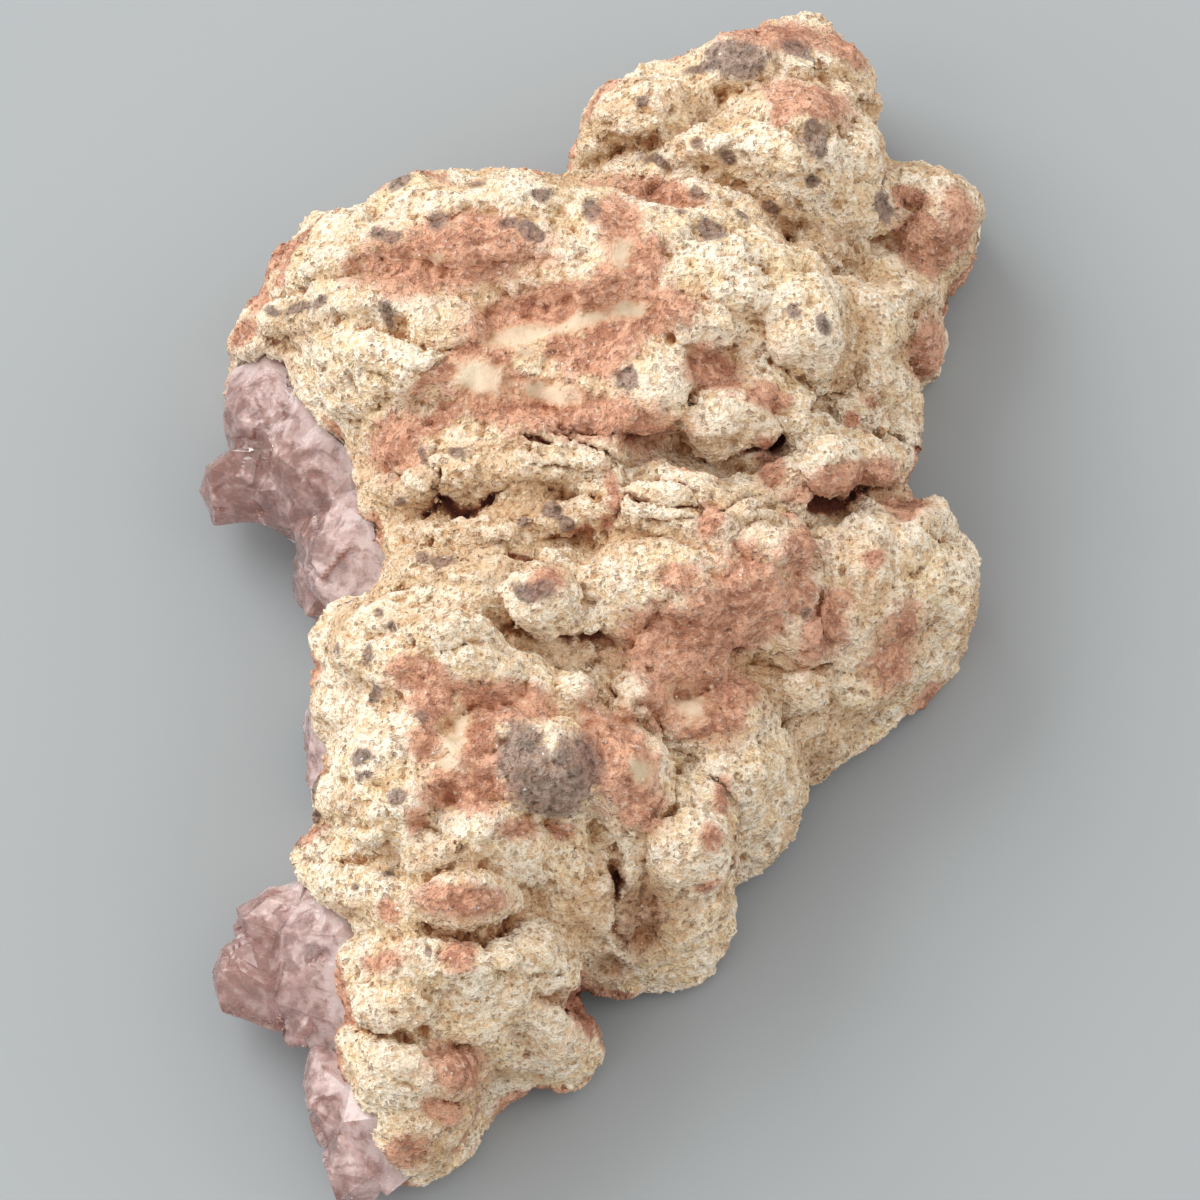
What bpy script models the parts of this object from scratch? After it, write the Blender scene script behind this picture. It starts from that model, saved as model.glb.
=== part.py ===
"""A broken piece of amethyst geode: lumpy wall rock with a crust of pale pink amethyst under it.

It lies on its broken rim, outer face up. X runs across the face, Y along it, Z is up, and the
origin is the middle of its box at the rest plane. Sizes below are in millimetres.
"""

import math
import random

import bmesh
import bpy
import numpy as np
from mathutils import Matrix, Vector, noise

# Driving dimensions
MILLIMETRE = 0.001
FACE_LEAN = math.radians(25)  # square on to the outer face is this far off the vertical
ROCK_WALL = 4.6  # thickness of the wall rock over the amethyst
CONTACT_GAP = 0.3  # between the wall rock and the amethyst
RIM_HEIGHT = 2  # mean height of the wall rock's broken rim above the rest plane
CRUST_RIM_HEIGHT = 3  # mean height of the amethyst's broken rim
CRUST_CLEARANCE = 0.9  # no amethyst comes nearer the rest plane than this
RIM_ROUGHNESS = 5.5
GRAIN_SEED = 5

# Mesh fineness
FORM_VOXEL = 0.9
ROCK_VOXEL = 0.7
CORE_VOXEL = 1.5
ROCK_TRIANGLES = 4800
CORE_TRIANGLES = 520

# The hollow and the crystals that line it
HOLLOW_CENTRE = (-2, -1, -1)
HOLLOW_HALF = (15, 26, 18)
HOLLOW_TURN = math.radians(-13)
CRYSTALS = 58
CRYSTAL_BATCHES = 9
CRYSTAL_RADIUS = (1.7, 3.3)
CRYSTAL_ROOT = 1.6  # how far a crystal's foot is sunk in the crust
GOLDEN_ANGLE = math.pi * (3 - math.sqrt(5))

# Masses of the wall rock. Each is placed as it shows when the face is looked at square on:
# across and along the face from its middle, then the height of its top above the rest plane,
# its half sizes across, along and up, and its turn about the vertical in degrees.
MASSES = (
    ("upper_core", 1, 16, 29, 25, 20, 25, -12),
    ("lower_core", -6, -14, 28, 17, 25, 24, 14),
    ("right_core", 13, -1, 24.5, 18, 18, 21, 25),
    ("head", 15.8, 41, 23, 10.5, 9.5, 17, 8),
    ("head_left", 4.8, 38.5, 23, 9, 7.6, 16, 24),
    ("brow", 15, 35.5, 26, 11.6, 9.5, 15, 4),
    ("cheek", 28.6, 32.2, 15, 6.3, 7.4, 13, 0),
    ("ear", 26.4, 23, 15, 5.6, 5.4, 13, 0),
    ("crest", 6, 21, 32, 20, 11.5, 22, -4),
    ("upper_body", -5, 23, 29.5, 23.4, 13.7, 23, -14),
    ("left_slope", -12, 14.5, 29, 13.5, 11, 20, -20),
    ("shoulder", -19, 24, 26, 13.4, 9.8, 20, 24),
    ("shoulder_fill", -20.5, 18.5, 26.5, 9, 8.5, 18, -10),
    ("shoulder_end", -30, 19.8, 14.5, 5.4, 4.8, 12, 40),
    ("tiers", 20, 16.5, 24, 8.4, 8.5, 18, 0),
    ("waist", -4, 5.5, 27.6, 20, 11, 20, 0),
    ("middle", 7, -2, 29.4, 17, 12, 22, 0),
    ("right_lobe", 25.4, -0.5, 18, 8.8, 10.3, 15, 12),
    ("right_low", 17, -9.6, 18, 8.6, 7.6, 15, 35),
    ("left_body", -11, -11, 31, 15.3, 13, 24, 0),
    ("lower_body", -14.5, -26, 29, 11.5, 16, 24, 4),
    ("lower_fill", -13, -36, 25, 10, 9, 18, -10),
    ("flank", 0, -24.5, 23, 13, 11, 18, -38),
    ("flank_top", 10, -16.5, 21, 9, 8, 16, -35),
    ("lower_end", -7.4, -37.6, 20, 7.6, 5.2, 14, -20),
    ("foot", -17.2, -42, 21.5, 6.4, 10.8, 17, 8),
)
# The masses the amethyst fills from below; the rest are solid rock
FILLED = (
    "upper_core", "lower_core", "right_core", "crest", "upper_body", "left_slope", "shoulder",
    "waist", "middle", "left_body", "lower_body", "lower_fill", "flank",
)
# Amethyst between those masses and out to the broken left edge, placed like the masses
REACHES = (
    ("middle_fill", -4, 0, 20.5, 17, 20, 13, 0),
    ("right_fill", 7, -14, 15.5, 8.5, 11, 12, -20),
    ("upper_reach", -24, 13, 16.5, 9, 9, 9, 0),
    ("upper_reach_low", -20, 3, 17, 8, 7, 9, 0),
    ("middle_reach", -19.5, -13, 15, 8, 8, 9, 0),
    ("lower_reach", -22.5, -33, 15.5, 8, 8, 9, 0),
    ("foot_reach", -20, -46, 12, 4.6, 7.5, 7, 10),
)
# Fractured chunks of amethyst at the broken left edge, placed like the masses, and how many
# corners each has
CHUNKS = (
    ("upper_chunk", -29.6, 15.6, 15, 5.8, 6.8, 7, 10, 40),
    ("upper_chunk_tip", -32, 10.6, 12, 4.8, 4.2, 6, 15, 32),
    ("upper_chunk_low", -27, 10.4, 14, 5.6, 4.6, 6.5, -15, 28),
    ("upper_chunk_foot", -25.2, 2.4, 12, 3, 5.8, 6, 0, 18),
    ("edge_strip", -25, -13.8, 10, 2.4, 5.4, 5, 0, 16),
    ("lower_chunk_top", -28.2, -29.4, 13, 4.8, 4.4, 6, 0, 24),
    ("lower_chunk", -29.6, -34.2, 11.5, 5.4, 4.4, 5.6, -10, 34),
    ("lower_chunk_root", -26, -36.5, 11, 3.4, 4.6, 5, 0, 16),
    ("foot_strip", -23.6, -45, 10, 2.8, 6, 4.6, 8, 16),
    ("foot_chunk", -21.6, -50.4, 9, 3.6, 3.8, 4, 20, 18),
)

# Lumps standing on the face: across, along, half sizes, how far they stand out, turn
LUMPS = (
    ("crown_left", 5.5, 43, 6, 5, 1.6, 30),
    ("crown_mid", 11, 47.5, 6.5, 4.5, 1.8, 10),
    ("crown_right", 19, 48, 6.5, 5, 1.8, -10),
    ("brow_right", 19.5, 41, 7.5, 4.6, 1.4, 6),
    ("brow_left", 9, 39.5, 6, 3.6, 1.6, 12),
    ("temple", 24, 37, 3.6, 5, 1.4, 0),
    ("under_brow", 14, 34, 8, 3.6, 1.2, 8),
    ("under_brow_left", 2, 36, 5, 3.4, 1.2, 10),
    ("cheek_top", 30.8, 34.6, 4, 4, 1.4, 0),
    ("cheek_low", 32, 30.5, 3.2, 4, 1.4, 0),
    ("cheek_root", 25.5, 31.5, 3.6, 5.5, 1.6, -12),
    ("ear_knob", 29.6, 22, 3, 3.4, 1.6, 0),
    ("upper_tier", 25, 26, 4, 4, 1.6, 0),
    ("right_tier", 26.5, 17.5, 4.4, 3.6, 2, 0),
    ("right_tier_low", 24, 13, 5, 2.8, 2, -12),
    ("inner_tier", 19.5, 12.6, 3.8, 3.4, 2, 0),
    ("crest_right", 17.5, 25.5, 5, 6.5, 2, 12),
    ("crest_shoulder", 12, 30, 5, 4, 1.5, 0),
    ("crest_top", 7, 24.5, 6.5, 4.4, 1.7, 0),
    ("crest_bulge", 8, 18.5, 4.6, 3.4, 2.4, 0),
    ("crest_bulge_right", 15, 18.4, 4.4, 3.6, 2.6, 0),
    ("crest_lip", 2.5, 15.5, 4.4, 2.4, 1.5, -18),
    ("crest_left", -4, 21.5, 6.5, 4, 1.6, -14),
    ("crest_left_low", -7, 16.5, 6, 3.6, 1.7, -20),
    ("upper_rise", 1, 31, 7, 3.8, 1.4, 0),
    ("upper_left", -8, 32.5, 6.5, 4, 1.5, 0),
    ("shoulder_top", -16.5, 34, 5.5, 3.8, 1.6, 12),
    ("shoulder_mid", -16, 28, 6.5, 3.4, 1.5, 8),
    ("shoulder_far", -25, 31, 4.2, 3.2, 1.3, 25),
    ("shoulder_left", -26, 26.3, 5, 3, 1.5, 10),
    ("shoulder_corner", -31, 23.5, 3, 3.4, 1.2, 0),
    ("shoulder_low", -20.5, 20.5, 5.5, 4, 1.6, 0),
    ("left_flank", -16, 13.5, 5, 4, 1.5, -10),
    ("waist_left", -17, 6.5, 5.5, 2.6, 1.1, -6),
    ("waist_mid", -7, 7.6, 6.5, 2.6, 1.4, 0),
    ("waist_right", 4, 9.4, 5.5, 2.4, 1.3, 4),
    ("waist_end", 13.5, 7.2, 5, 2.4, 1.2, 0),
    ("waist_low", -13, 2.2, 6.5, 2.4, 0.9, 0),
    ("middle_knob", -4.5, 1.4, 4, 3.4, 1.8, 0),
    ("middle_rise", 4.5, 2.4, 5.5, 3.6, 1.8, 0),
    ("middle_right", 14.5, 2, 5.5, 4.2, 1.8, 0),
    ("middle_low", 9, -4.6, 7, 4, 2.2, 0),
    ("middle_foot", 5.5, -10.4, 5, 3, 1.6, 10),
    ("middle_corner", 18, -6, 4, 4, 1.5, 0),
    ("right_knob", 26.5, 7, 4, 3, 1.7, 0),
    ("right_bulge", 31, 0.5, 4, 5, 1.6, 0),
    ("right_inner", 24, 0, 4, 5, 1.4, 0),
    ("right_foot", 25.5, -9, 4.5, 4, 1.5, 30),
    ("left_rise", -20, -3.5, 5, 3.6, 1.7, 0),
    ("left_knob", -13, -3.6, 4, 3, 1.5, 0),
    ("left_crest", -18, -10, 5.5, 4.4, 1.8, 0),
    ("left_edge", -24.5, -13, 2.6, 5, 1.2, 0),
    ("lower_crest", -7.5, -14.5, 6.4, 5.4, 2.2, 0),
    ("lower_crest_right", 1, -14.4, 4.4, 4.4, 1.8, 0),
    ("lower_right_knob", 4.5, -18.6, 3.4, 3.4, 1.6, 0),
    ("ledge_knob", 9, -21, 4, 4.4, 1.8, -20),
    ("ledge_side", 12.4, -16, 3.4, 3.6, 1.4, 0),
    ("lower_left_rise", -19.5, -18.5, 5, 4.4, 1.8, 0),
    ("lower_mid", -10, -21.5, 5, 4, 1.8, 0),
    ("lower_left", -24.5, -25, 3.4, 3.8, 1.5, 0),
    ("lower_shelf", -14.5, -26.8, 6.5, 3, 1.6, 0),
    ("lower_knob", -20, -32, 4.6, 3.8, 1.6, 0),
    ("lower_bulge", -10, -33, 5.4, 3.6, 1.8, 8),
    ("lower_side", -3.5, -29, 3.6, 5.4, 1.6, -15),
    ("lower_end", -6, -39, 4.6, 3, 1.4, 20),
    ("foot_rise", -20.5, -40.5, 4.2, 4, 1.5, 0),
    ("foot_side", -13.5, -43, 4, 3, 1.4, 30),
    ("foot_tip", -18.5, -48, 3.2, 3.6, 1.2, 0),
)

# Folds, cracks and undercuts of the face: half width, depth, how far they cut in under the
# lump above, then the points they run through, across and along the face
FOLDS = (
    ("under_crest", 0.8, 2.8, 0.9, ((3, 13.6), (8, 13.4), (13, 12.6), (17, 13.2), (18.4, 15.6))),
    ("under_tiers", 0.9, 3.4, 1.1, ((14, 8.6), (17.6, 8.2), (20.5, 7.9), (25, 8.6), (29.5, 9))),
    ("tier_gap", 0.9, 1.7, 0, ((17.4, 33.5), (20, 30), (22.6, 24), (22.4, 18), (19.8, 15.6))),
    ("below_brow", 0.9, 1.9, 0.5, ((-3.6, 39.4), (3.6, 41), (10, 43), (15, 46), (22.8, 47.4))),
    ("across_brow", 0.9, 1.2, 0.4, ((4.6, 38.8), (12, 38.6), (17.4, 32.6), (23, 31.6))),
    ("shoulder_fold", 1, 1.6, 0.4, ((-19, 24.4), (-13.8, 23), (-13, 22.4), (-15.6, 18), (-19, 15.2))),
    ("waist_top", 0.9, 2.2, 0.6, ((-20, 7), (-15.6, 7.4), (-12, 8.2), (-9, 8.6), (-3, 9.8), (4, 12))),
    ("waist_crack", 0.8, 1.6, 0.5, ((-12, 4.6), (-6, 4.6), (0, 6.2), (6, 5.8), (12, 4.4))),
    ("waist_foot", 0.9, 1.6, 0.3, ((-22, 0.4), (-15, 0.2), (-9.6, -0.6), (-6.4, 4), (0.6, 5.2))),
    ("middle_gully", 1.2, 3.4, 0.3, ((-11, 0.6), (-6.4, -3), (-3.2, -4.8), (0, -5), (1, -8.2))),
    ("middle_gully_low", 1, 2.4, 0, ((1, -8.2), (3.7, -10.6), (7.4, -13.4))),
    ("right_gully", 1.2, 2.8, 0, ((20.6, 8), (20.4, 2), (20.8, -4), (20, -10))),
    ("middle_fold", 0.9, 1.6, 0.4, ((13, -5.8), (17, -4.6), (21, -3.8))),
    ("lower_gully", 1.2, 3, 0, ((0, -21), (1.8, -25.6), (1.8, -30), (3.6, -33))),
    ("shelf_fold", 0.9, 1.8, 0.5, ((-22, -30), (-16.4, -29), (-12.8, -29.6), (-7, -29))),
    ("foot_fold", 0.9, 1.6, 0.4, ((-23.4, -36.5), (-20, -38.9), (-16.4, -38))),
    ("left_fold", 0.9, 1.5, 0.4, ((-25, -20.8), (-19, -23), (-15, -21.2), (-13, -17.2))),
    ("crown_fold", 0.8, 1.2, 0.3, ((10, 43.8), (13, 40.8), (17, 43.8))),
)
# Where the broken rim reaches down to the rest plane: x, y and radius
FEET = ((17, 46, 5), (30, -5, 5), (-13, -48, 4.5), (-32, 17, 5), (-25, -24, 4))


def clear_scene():
    for obj in list(bpy.data.objects):
        bpy.data.objects.remove(obj, do_unlink=True)


def new_collection(name):
    made = bpy.data.collections.new(name)
    bpy.context.scene.collection.children.link(made)
    return made


def to_object(mesh, name, home):
    """Turns a finished bmesh into an object in the given collection."""
    data = bpy.data.meshes.new(name)
    mesh.to_mesh(data)
    mesh.free()
    obj = bpy.data.objects.new(name, data)
    home.objects.link(obj)
    return obj


def applied(obj):
    """The object with its modifiers made permanent; the first one is removed."""
    graph = bpy.context.evaluated_depsgraph_get()
    data = bpy.data.meshes.new_from_object(obj.evaluated_get(graph))
    made = bpy.data.objects.new(obj.name, data)
    obj.users_collection[0].objects.link(made)
    bpy.data.objects.remove(obj, do_unlink=True)
    return made


def remeshed(obj, voxel):
    joined = obj.modifiers.new("One skin", "REMESH")
    joined.mode = "VOXEL"
    joined.voxel_size = voxel
    return applied(obj)


def facetted(obj, triangles):
    count = sum(len(face.vertices) - 2 for face in obj.data.polygons)
    fewer = obj.modifiers.new("Facets", "DECIMATE")
    fewer.ratio = min(1, triangles / count)
    return applied(obj)


def combined(obj, tool, operation, own_overlaps=False):
    step = obj.modifiers.new(operation.title(), "BOOLEAN")
    step.operation = operation
    step.solver = "EXACT"
    step.use_self = own_overlaps
    step.object = tool
    return applied(obj)


def face_to_rest(across, along, height):
    """Across and along the face square on, and height above the rest plane, to resting x, y, z."""
    y = (along - height * math.sin(FACE_LEAN)) / math.cos(FACE_LEAN)
    return Vector((across, y, height))


def masses_object(rows, name, home):
    """All the masses as overlapping ellipsoids in one mesh."""
    mesh = bmesh.new()
    for _, across, along, top, half_x, half_y, half_z, turn in rows:
        centre = face_to_rest(across, along, top - half_z)
        spin = Matrix.Rotation(math.radians(turn), 4, "Z")
        place = Matrix.Translation(centre) @ spin @ Matrix.Diagonal((half_x, half_y, half_z, 1))
        bmesh.ops.create_icosphere(mesh, subdivisions=4, radius=1, matrix=place)
    return to_object(mesh, name, home)


def read_points(data):
    """Vertex positions and normals of a mesh as arrays."""
    points = np.empty(len(data.vertices) * 3)
    normals = np.empty(len(data.vertices) * 3)
    data.vertices.foreach_get("co", points)
    data.vertex_normals.foreach_get("vector", normals)
    return points.reshape(-1, 3), normals.reshape(-1, 3)


def move_points(obj, points):
    obj.data.vertices.foreach_set("co", points.ravel())
    obj.data.update()


def lump_height(across, along):
    """How far the lumps stand out at each place: domes, of which the highest wins."""
    height = np.zeros(len(across))
    for _, mid_across, mid_along, half_across, half_along, rise, turn in LUMPS:
        angle = math.radians(turn)
        off_across, off_along = across - mid_across, along - mid_along
        local_x = off_across * math.cos(angle) + off_along * math.sin(angle)
        local_y = off_along * math.cos(angle) - off_across * math.sin(angle)
        reach = (local_x / half_across) ** 2 + (local_y / half_along) ** 2
        height = np.maximum(height, rise * np.sqrt(np.clip(1.15 - reach, 0, 1.15)))
    return height


def path_distance(across, along, path):
    """Distance of each place from the line through the path's points."""
    nearest = np.full(len(across), np.inf)
    for (x0, y0), (x1, y1) in zip(path, path[1:]):
        span_x, span_y = x1 - x0, y1 - y0
        part = ((across - x0) * span_x + (along - y0) * span_y) / (span_x**2 + span_y**2)
        part = np.clip(part, 0, 1)
        gap = np.hypot(across - x0 - part * span_x, along - y0 - part * span_y)
        nearest = np.minimum(nearest, gap)
    return nearest


def cell_domes(points, size):
    """Rounded cells all over: 1 at a cell's middle, 0 in the joints between cells."""
    domes = np.empty(len(points))
    for i, point in enumerate(points):
        near, next_near = noise.voronoi(Vector(point) / size)[0][:2]
        domes[i] = min(1, (next_near - near) * 1.6)
    return domes


def waves(points, per_millimetre):
    return np.array([noise.noise(Vector(point) * per_millimetre) for point in points])


def sculpt(obj):
    """Raises the lumps on the outer face, cuts the folds and roughens the whole surface."""
    points, normals = read_points(obj.data)
    wander = 1.1 * np.array([noise.noise_vector(Vector(point) * 0.28) for point in points])
    across = points[:, 0] + wander[:, 0]
    along = points[:, 1] * math.cos(FACE_LEAN) + points[:, 2] * math.sin(FACE_LEAN) + wander[:, 1]
    facing = normals[:, 1] * math.sin(FACE_LEAN) + normals[:, 2] * math.cos(FACE_LEAN)
    on_face = np.clip(facing * 1.6 + 0.35, 0, 1)
    lift = lump_height(across, along) * on_face
    undercut = np.zeros(len(points))
    for _, width, depth, cut_in, path in FOLDS:
        near = np.exp(-((path_distance(across, along, path) / width) ** 2)) * on_face
        lift -= depth * near
        undercut += cut_in * near
    lift += 0.6 * (cell_domes(points, 4.4) - 0.4)
    lift += 0.8 * waves(points, 0.4) + 1.4 * waves(points, 0.13)
    points += normals * lift[:, None]
    points[:, 1] += undercut
    move_points(obj, points)


def slab_object(top, name, home):
    """A wide flat slab with its top at the given height."""
    mesh = bmesh.new()
    place = Matrix.Translation((0, 0, top - 20)) @ Matrix.Diagonal((120, 160, 40, 1))
    bmesh.ops.create_cube(mesh, size=1, matrix=place)
    return to_object(mesh, name, home)


def broken_slab_object(height, seed, feet, name, home):
    """A slab with a rough top, lower at the feet: the stone is broken off where it reaches."""
    mesh = bmesh.new()
    bmesh.ops.create_grid(mesh, x_segments=20, y_segments=28, size=0.5)
    bmesh.ops.scale(mesh, verts=mesh.verts, vec=(100, 140, 1))
    for vert in list(mesh.verts):
        vert.co += noise.noise_vector(vert.co * 0.37) * Vector((3.2, 3.2, 0))
        rise = height + RIM_ROUGHNESS * noise.noise(vert.co * 0.09 + Vector((seed, 0, 0)))
        rise += 0.9 * noise.noise(vert.co * 0.3 + Vector((0, seed, 0)))
        for x, y, radius in feet:
            away = math.hypot(vert.co.x - x, vert.co.y - y) / radius
            rise = min(rise, -2 + 6 * max(0, away - 0.8))
        vert.co.z = rise
    skirt = bmesh.ops.extrude_face_region(mesh, geom=list(mesh.faces))
    for vert in skirt["geom"]:
        if isinstance(vert, bmesh.types.BMVert):
            vert.co.z = -40
    bmesh.ops.recalc_face_normals(mesh, faces=mesh.faces)
    bmesh.ops.triangulate(mesh, faces=mesh.faces)
    return to_object(mesh, name, home)


def add_hull(mesh, corners):
    made = bmesh.ops.convex_hull(mesh, input=[mesh.verts.new(corner) for corner in corners])
    inside = [item for item in made["geom_interior"] if isinstance(item, bmesh.types.BMVert)]
    bmesh.ops.delete(mesh, geom=inside, context="VERTS")


def spiral_direction(index, count, lowest=-1):
    """Evenly spread directions, from straight up down to the lowest height."""
    height = 1 - (1 - lowest) * (index + 0.5) / count
    ring = math.sqrt(1 - height * height)
    angle = index * GOLDEN_ANGLE
    return Vector((ring * math.cos(angle), ring * math.sin(angle), height))


def chunks_object(grow, home):
    """The fractured chunks along the broken left edge, each grown by the given amount."""
    rng = random.Random(11)
    mesh = bmesh.new()
    for _, across, along, top, half_x, half_y, half_z, turn, corners in CHUNKS:
        centre = face_to_rest(across, along, top - half_z)
        spin = Matrix.Rotation(math.radians(turn), 3, "Z")
        half = Matrix.Diagonal((half_x + grow, half_y + grow, half_z + grow))
        places = []
        for i in range(corners):
            way = spiral_direction(i, corners)
            way.rotate(Matrix.Rotation(rng.uniform(-0.3, 0.3), 3, "Z"))
            places.append(centre + spin @ half @ way * rng.uniform(0.82, 1.1))
        add_hull(mesh, places)
    return to_object(mesh, "chunks", home)


def amethyst_form(grow, home):
    """The outside of the amethyst: the masses set in by the wall, and what reaches out of it."""
    rows = [
        (name, x, y, top - ROCK_WALL, half_x - ROCK_WALL, half_y - ROCK_WALL, half_z, turn)
        for name, x, y, top, half_x, half_y, half_z, turn in MASSES
        if name in FILLED
    ]
    core = masses_object(rows + list(REACHES), "amethyst_core", home)
    core = facetted(remeshed(core, CORE_VOXEL), CORE_TRIANGLES)
    points, normals = read_points(core.data)
    move_points(core, points + normals * grow)
    chunks = chunks_object(grow, home)
    core = combined(core, chunks, "UNION", own_overlaps=True)
    bpy.data.objects.remove(chunks, do_unlink=True)
    return core


def hollow_place():
    """Turns a unit ball into the hollow."""
    spin = Matrix.Rotation(HOLLOW_TURN, 4, "Z")
    return Matrix.Translation(HOLLOW_CENTRE) @ spin @ Matrix.Diagonal((*HOLLOW_HALF, 1))


def hollow_object(home):
    mesh = bmesh.new()
    bmesh.ops.create_icosphere(mesh, subdivisions=2, radius=1, matrix=hollow_place())
    return to_object(mesh, "hollow", home)


def crystal_corners(seat, axis, rng):
    """Corners of one six sided crystal with an uneven tip."""
    radius = rng.uniform(*CRYSTAL_RADIUS)
    length = radius * rng.uniform(1.1, 1.9)
    frame = axis.to_track_quat("Z", "Y").to_matrix()
    spin = rng.uniform(0, math.pi)
    corners = []
    for k in range(6):
        x = radius * math.cos(spin + k * math.pi / 3)
        y = radius * math.sin(spin + k * math.pi / 3)
        corners.append(seat + frame @ Vector((x, y, -CRYSTAL_ROOT)))
        corners.append(seat + frame @ Vector((x, y, length * rng.uniform(0.5, 0.75))))
    off_x, off_y = rng.uniform(-0.25, 0.25), rng.uniform(-0.25, 0.25)
    corners.append(seat + frame @ Vector((off_x * radius, off_y * radius, length + radius * 0.6)))
    return corners


def crystal_objects(home):
    """Crystals over the roof and walls of the hollow, pointing in, in batches.

    Neighbours overlap, so they are never in the same batch.
    """
    rng = random.Random(29)
    centre, place = Vector(HOLLOW_CENTRE), hollow_place()
    batches = [bmesh.new() for _ in range(CRYSTAL_BATCHES)]
    for i in range(CRYSTALS):
        seat = place @ spiral_direction(i, CRYSTALS, lowest=0.04)
        lean = Vector((rng.uniform(-1, 1), rng.uniform(-1, 1), rng.uniform(-0.5, 0.5)))
        axis = ((centre - seat).normalized() + lean * 0.45).normalized()
        corners = crystal_corners(seat, axis, rng)
        if min(corner.z for corner in corners) > CRUST_CLEARANCE:
            add_hull(batches[i % CRYSTAL_BATCHES], corners)
    return [to_object(mesh, "crystals", home) for mesh in batches]


def keep_main_body(obj):
    """Drops the loose crumbs a cut leaves beside the main body."""
    mesh = bmesh.new()
    mesh.from_mesh(obj.data)
    waiting, bodies = set(mesh.verts), []
    while waiting:
        body, front = set(), {waiting.pop()}
        while front:
            body |= front
            front = {edge.other_vert(vert) for vert in front for edge in vert.link_edges} - body
        waiting -= body
        bodies.append(body)
    main = max(bodies, key=len)
    crumbs = [vert for vert in mesh.verts if vert not in main]
    bmesh.ops.delete(mesh, geom=crumbs, context="VERTS")
    bmesh.ops.triangulate(mesh, faces=mesh.faces, ngon_method="EAR_CLIP")
    mesh.to_mesh(obj.data)
    mesh.free()


def make_rind(parts, helpers):
    rind = remeshed(masses_object(MASSES, "rind", parts), FORM_VOXEL)
    sculpt(rind)
    rind = remeshed(rind, ROCK_VOXEL)
    rind = combined(rind, slab_object(-2.5, "below_rim", helpers), "DIFFERENCE")
    rind = facetted(rind, ROCK_TRIANGLES)
    rind = combined(rind, amethyst_form(CONTACT_GAP, helpers), "DIFFERENCE")
    rim = broken_slab_object(RIM_HEIGHT, 3, FEET, "broken_rim", helpers)
    rind = combined(rind, rim, "DIFFERENCE")
    rind = combined(rind, slab_object(0, "rest_plane", helpers), "DIFFERENCE")
    keep_main_body(rind)
    return rind


def make_crust(parts, helpers):
    crust = combined(amethyst_form(0, parts), hollow_object(helpers), "DIFFERENCE")
    rim = broken_slab_object(CRUST_RIM_HEIGHT, 8, (), "broken_crust_rim", helpers)
    crust = combined(crust, rim, "DIFFERENCE")
    clear = slab_object(CRUST_CLEARANCE, "crust_clearance", helpers)
    crust = combined(crust, clear, "DIFFERENCE")
    for crystals in crystal_objects(helpers):
        crust = combined(crust, crystals, "UNION")
    keep_main_body(crust)
    return crust


def set_material(obj, name, colour, roughness):
    material = bpy.data.materials.new(name)
    material.use_nodes = True
    surface = material.node_tree.nodes["Principled BSDF"]
    surface.inputs["Base Color"].default_value = (*colour, 1)
    surface.inputs["Roughness"].default_value = roughness
    surface.inputs["Metallic"].default_value = 0
    obj.data.materials.clear()
    obj.data.materials.append(material)


def centre_box(parts, others):
    """Puts the middle of the parts' box over the origin and turns millimetres into metres."""
    corners = [Vector(corner) for obj in parts for corner in obj.bound_box]
    middle_x = (min(c.x for c in corners) + max(c.x for c in corners)) / 2
    middle_y = (min(c.y for c in corners) + max(c.y for c in corners)) / 2
    place = Matrix.Scale(MILLIMETRE, 4) @ Matrix.Translation((-middle_x, -middle_y, 0))
    for obj in list(parts) + list(others):
        obj.data.transform(place)


def build():
    clear_scene()
    noise.seed_set(GRAIN_SEED)
    parts = new_collection("amethyst_geode")
    helpers = new_collection("geode_helpers")
    rind = make_rind(parts, helpers)
    crust = make_crust(parts, helpers)
    centre_box((rind, crust), helpers.objects)
    rind.name = rind.data.name = "rind"
    crust.name = crust.data.name = "amethyst_crust"
    set_material(rind, "wall_rock", (0.73, 0.58, 0.38), 0.9)
    set_material(crust, "amethyst", (0.62, 0.42, 0.46), 0.25)
    for helper in helpers.objects:
        helper.display_type = "WIRE"
        helper.hide_render = True


build()
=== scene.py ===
import math

import bmesh
import bpy
import numpy as np
from mathutils import Matrix, Vector, noise
from mathutils.bvhtree import BVHTree
from mathutils.kdtree import KDTree


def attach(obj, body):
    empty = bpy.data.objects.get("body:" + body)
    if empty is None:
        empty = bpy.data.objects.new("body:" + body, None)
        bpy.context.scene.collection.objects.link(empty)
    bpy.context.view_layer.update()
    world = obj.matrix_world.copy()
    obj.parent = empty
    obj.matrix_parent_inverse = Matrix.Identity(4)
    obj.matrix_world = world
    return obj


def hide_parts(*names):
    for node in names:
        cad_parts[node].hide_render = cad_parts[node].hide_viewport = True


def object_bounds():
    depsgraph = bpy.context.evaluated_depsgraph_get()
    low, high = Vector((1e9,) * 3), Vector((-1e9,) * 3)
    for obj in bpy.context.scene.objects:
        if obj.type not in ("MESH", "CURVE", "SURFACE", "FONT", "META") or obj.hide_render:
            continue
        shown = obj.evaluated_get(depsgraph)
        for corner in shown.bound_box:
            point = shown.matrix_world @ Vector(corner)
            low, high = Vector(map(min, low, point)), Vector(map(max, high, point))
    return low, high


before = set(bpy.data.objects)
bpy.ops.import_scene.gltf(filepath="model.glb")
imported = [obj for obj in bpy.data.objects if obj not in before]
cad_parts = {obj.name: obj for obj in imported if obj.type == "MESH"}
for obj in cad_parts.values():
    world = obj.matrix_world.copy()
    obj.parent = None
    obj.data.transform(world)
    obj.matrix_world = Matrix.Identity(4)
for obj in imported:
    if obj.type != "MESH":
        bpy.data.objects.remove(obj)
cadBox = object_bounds()
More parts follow.
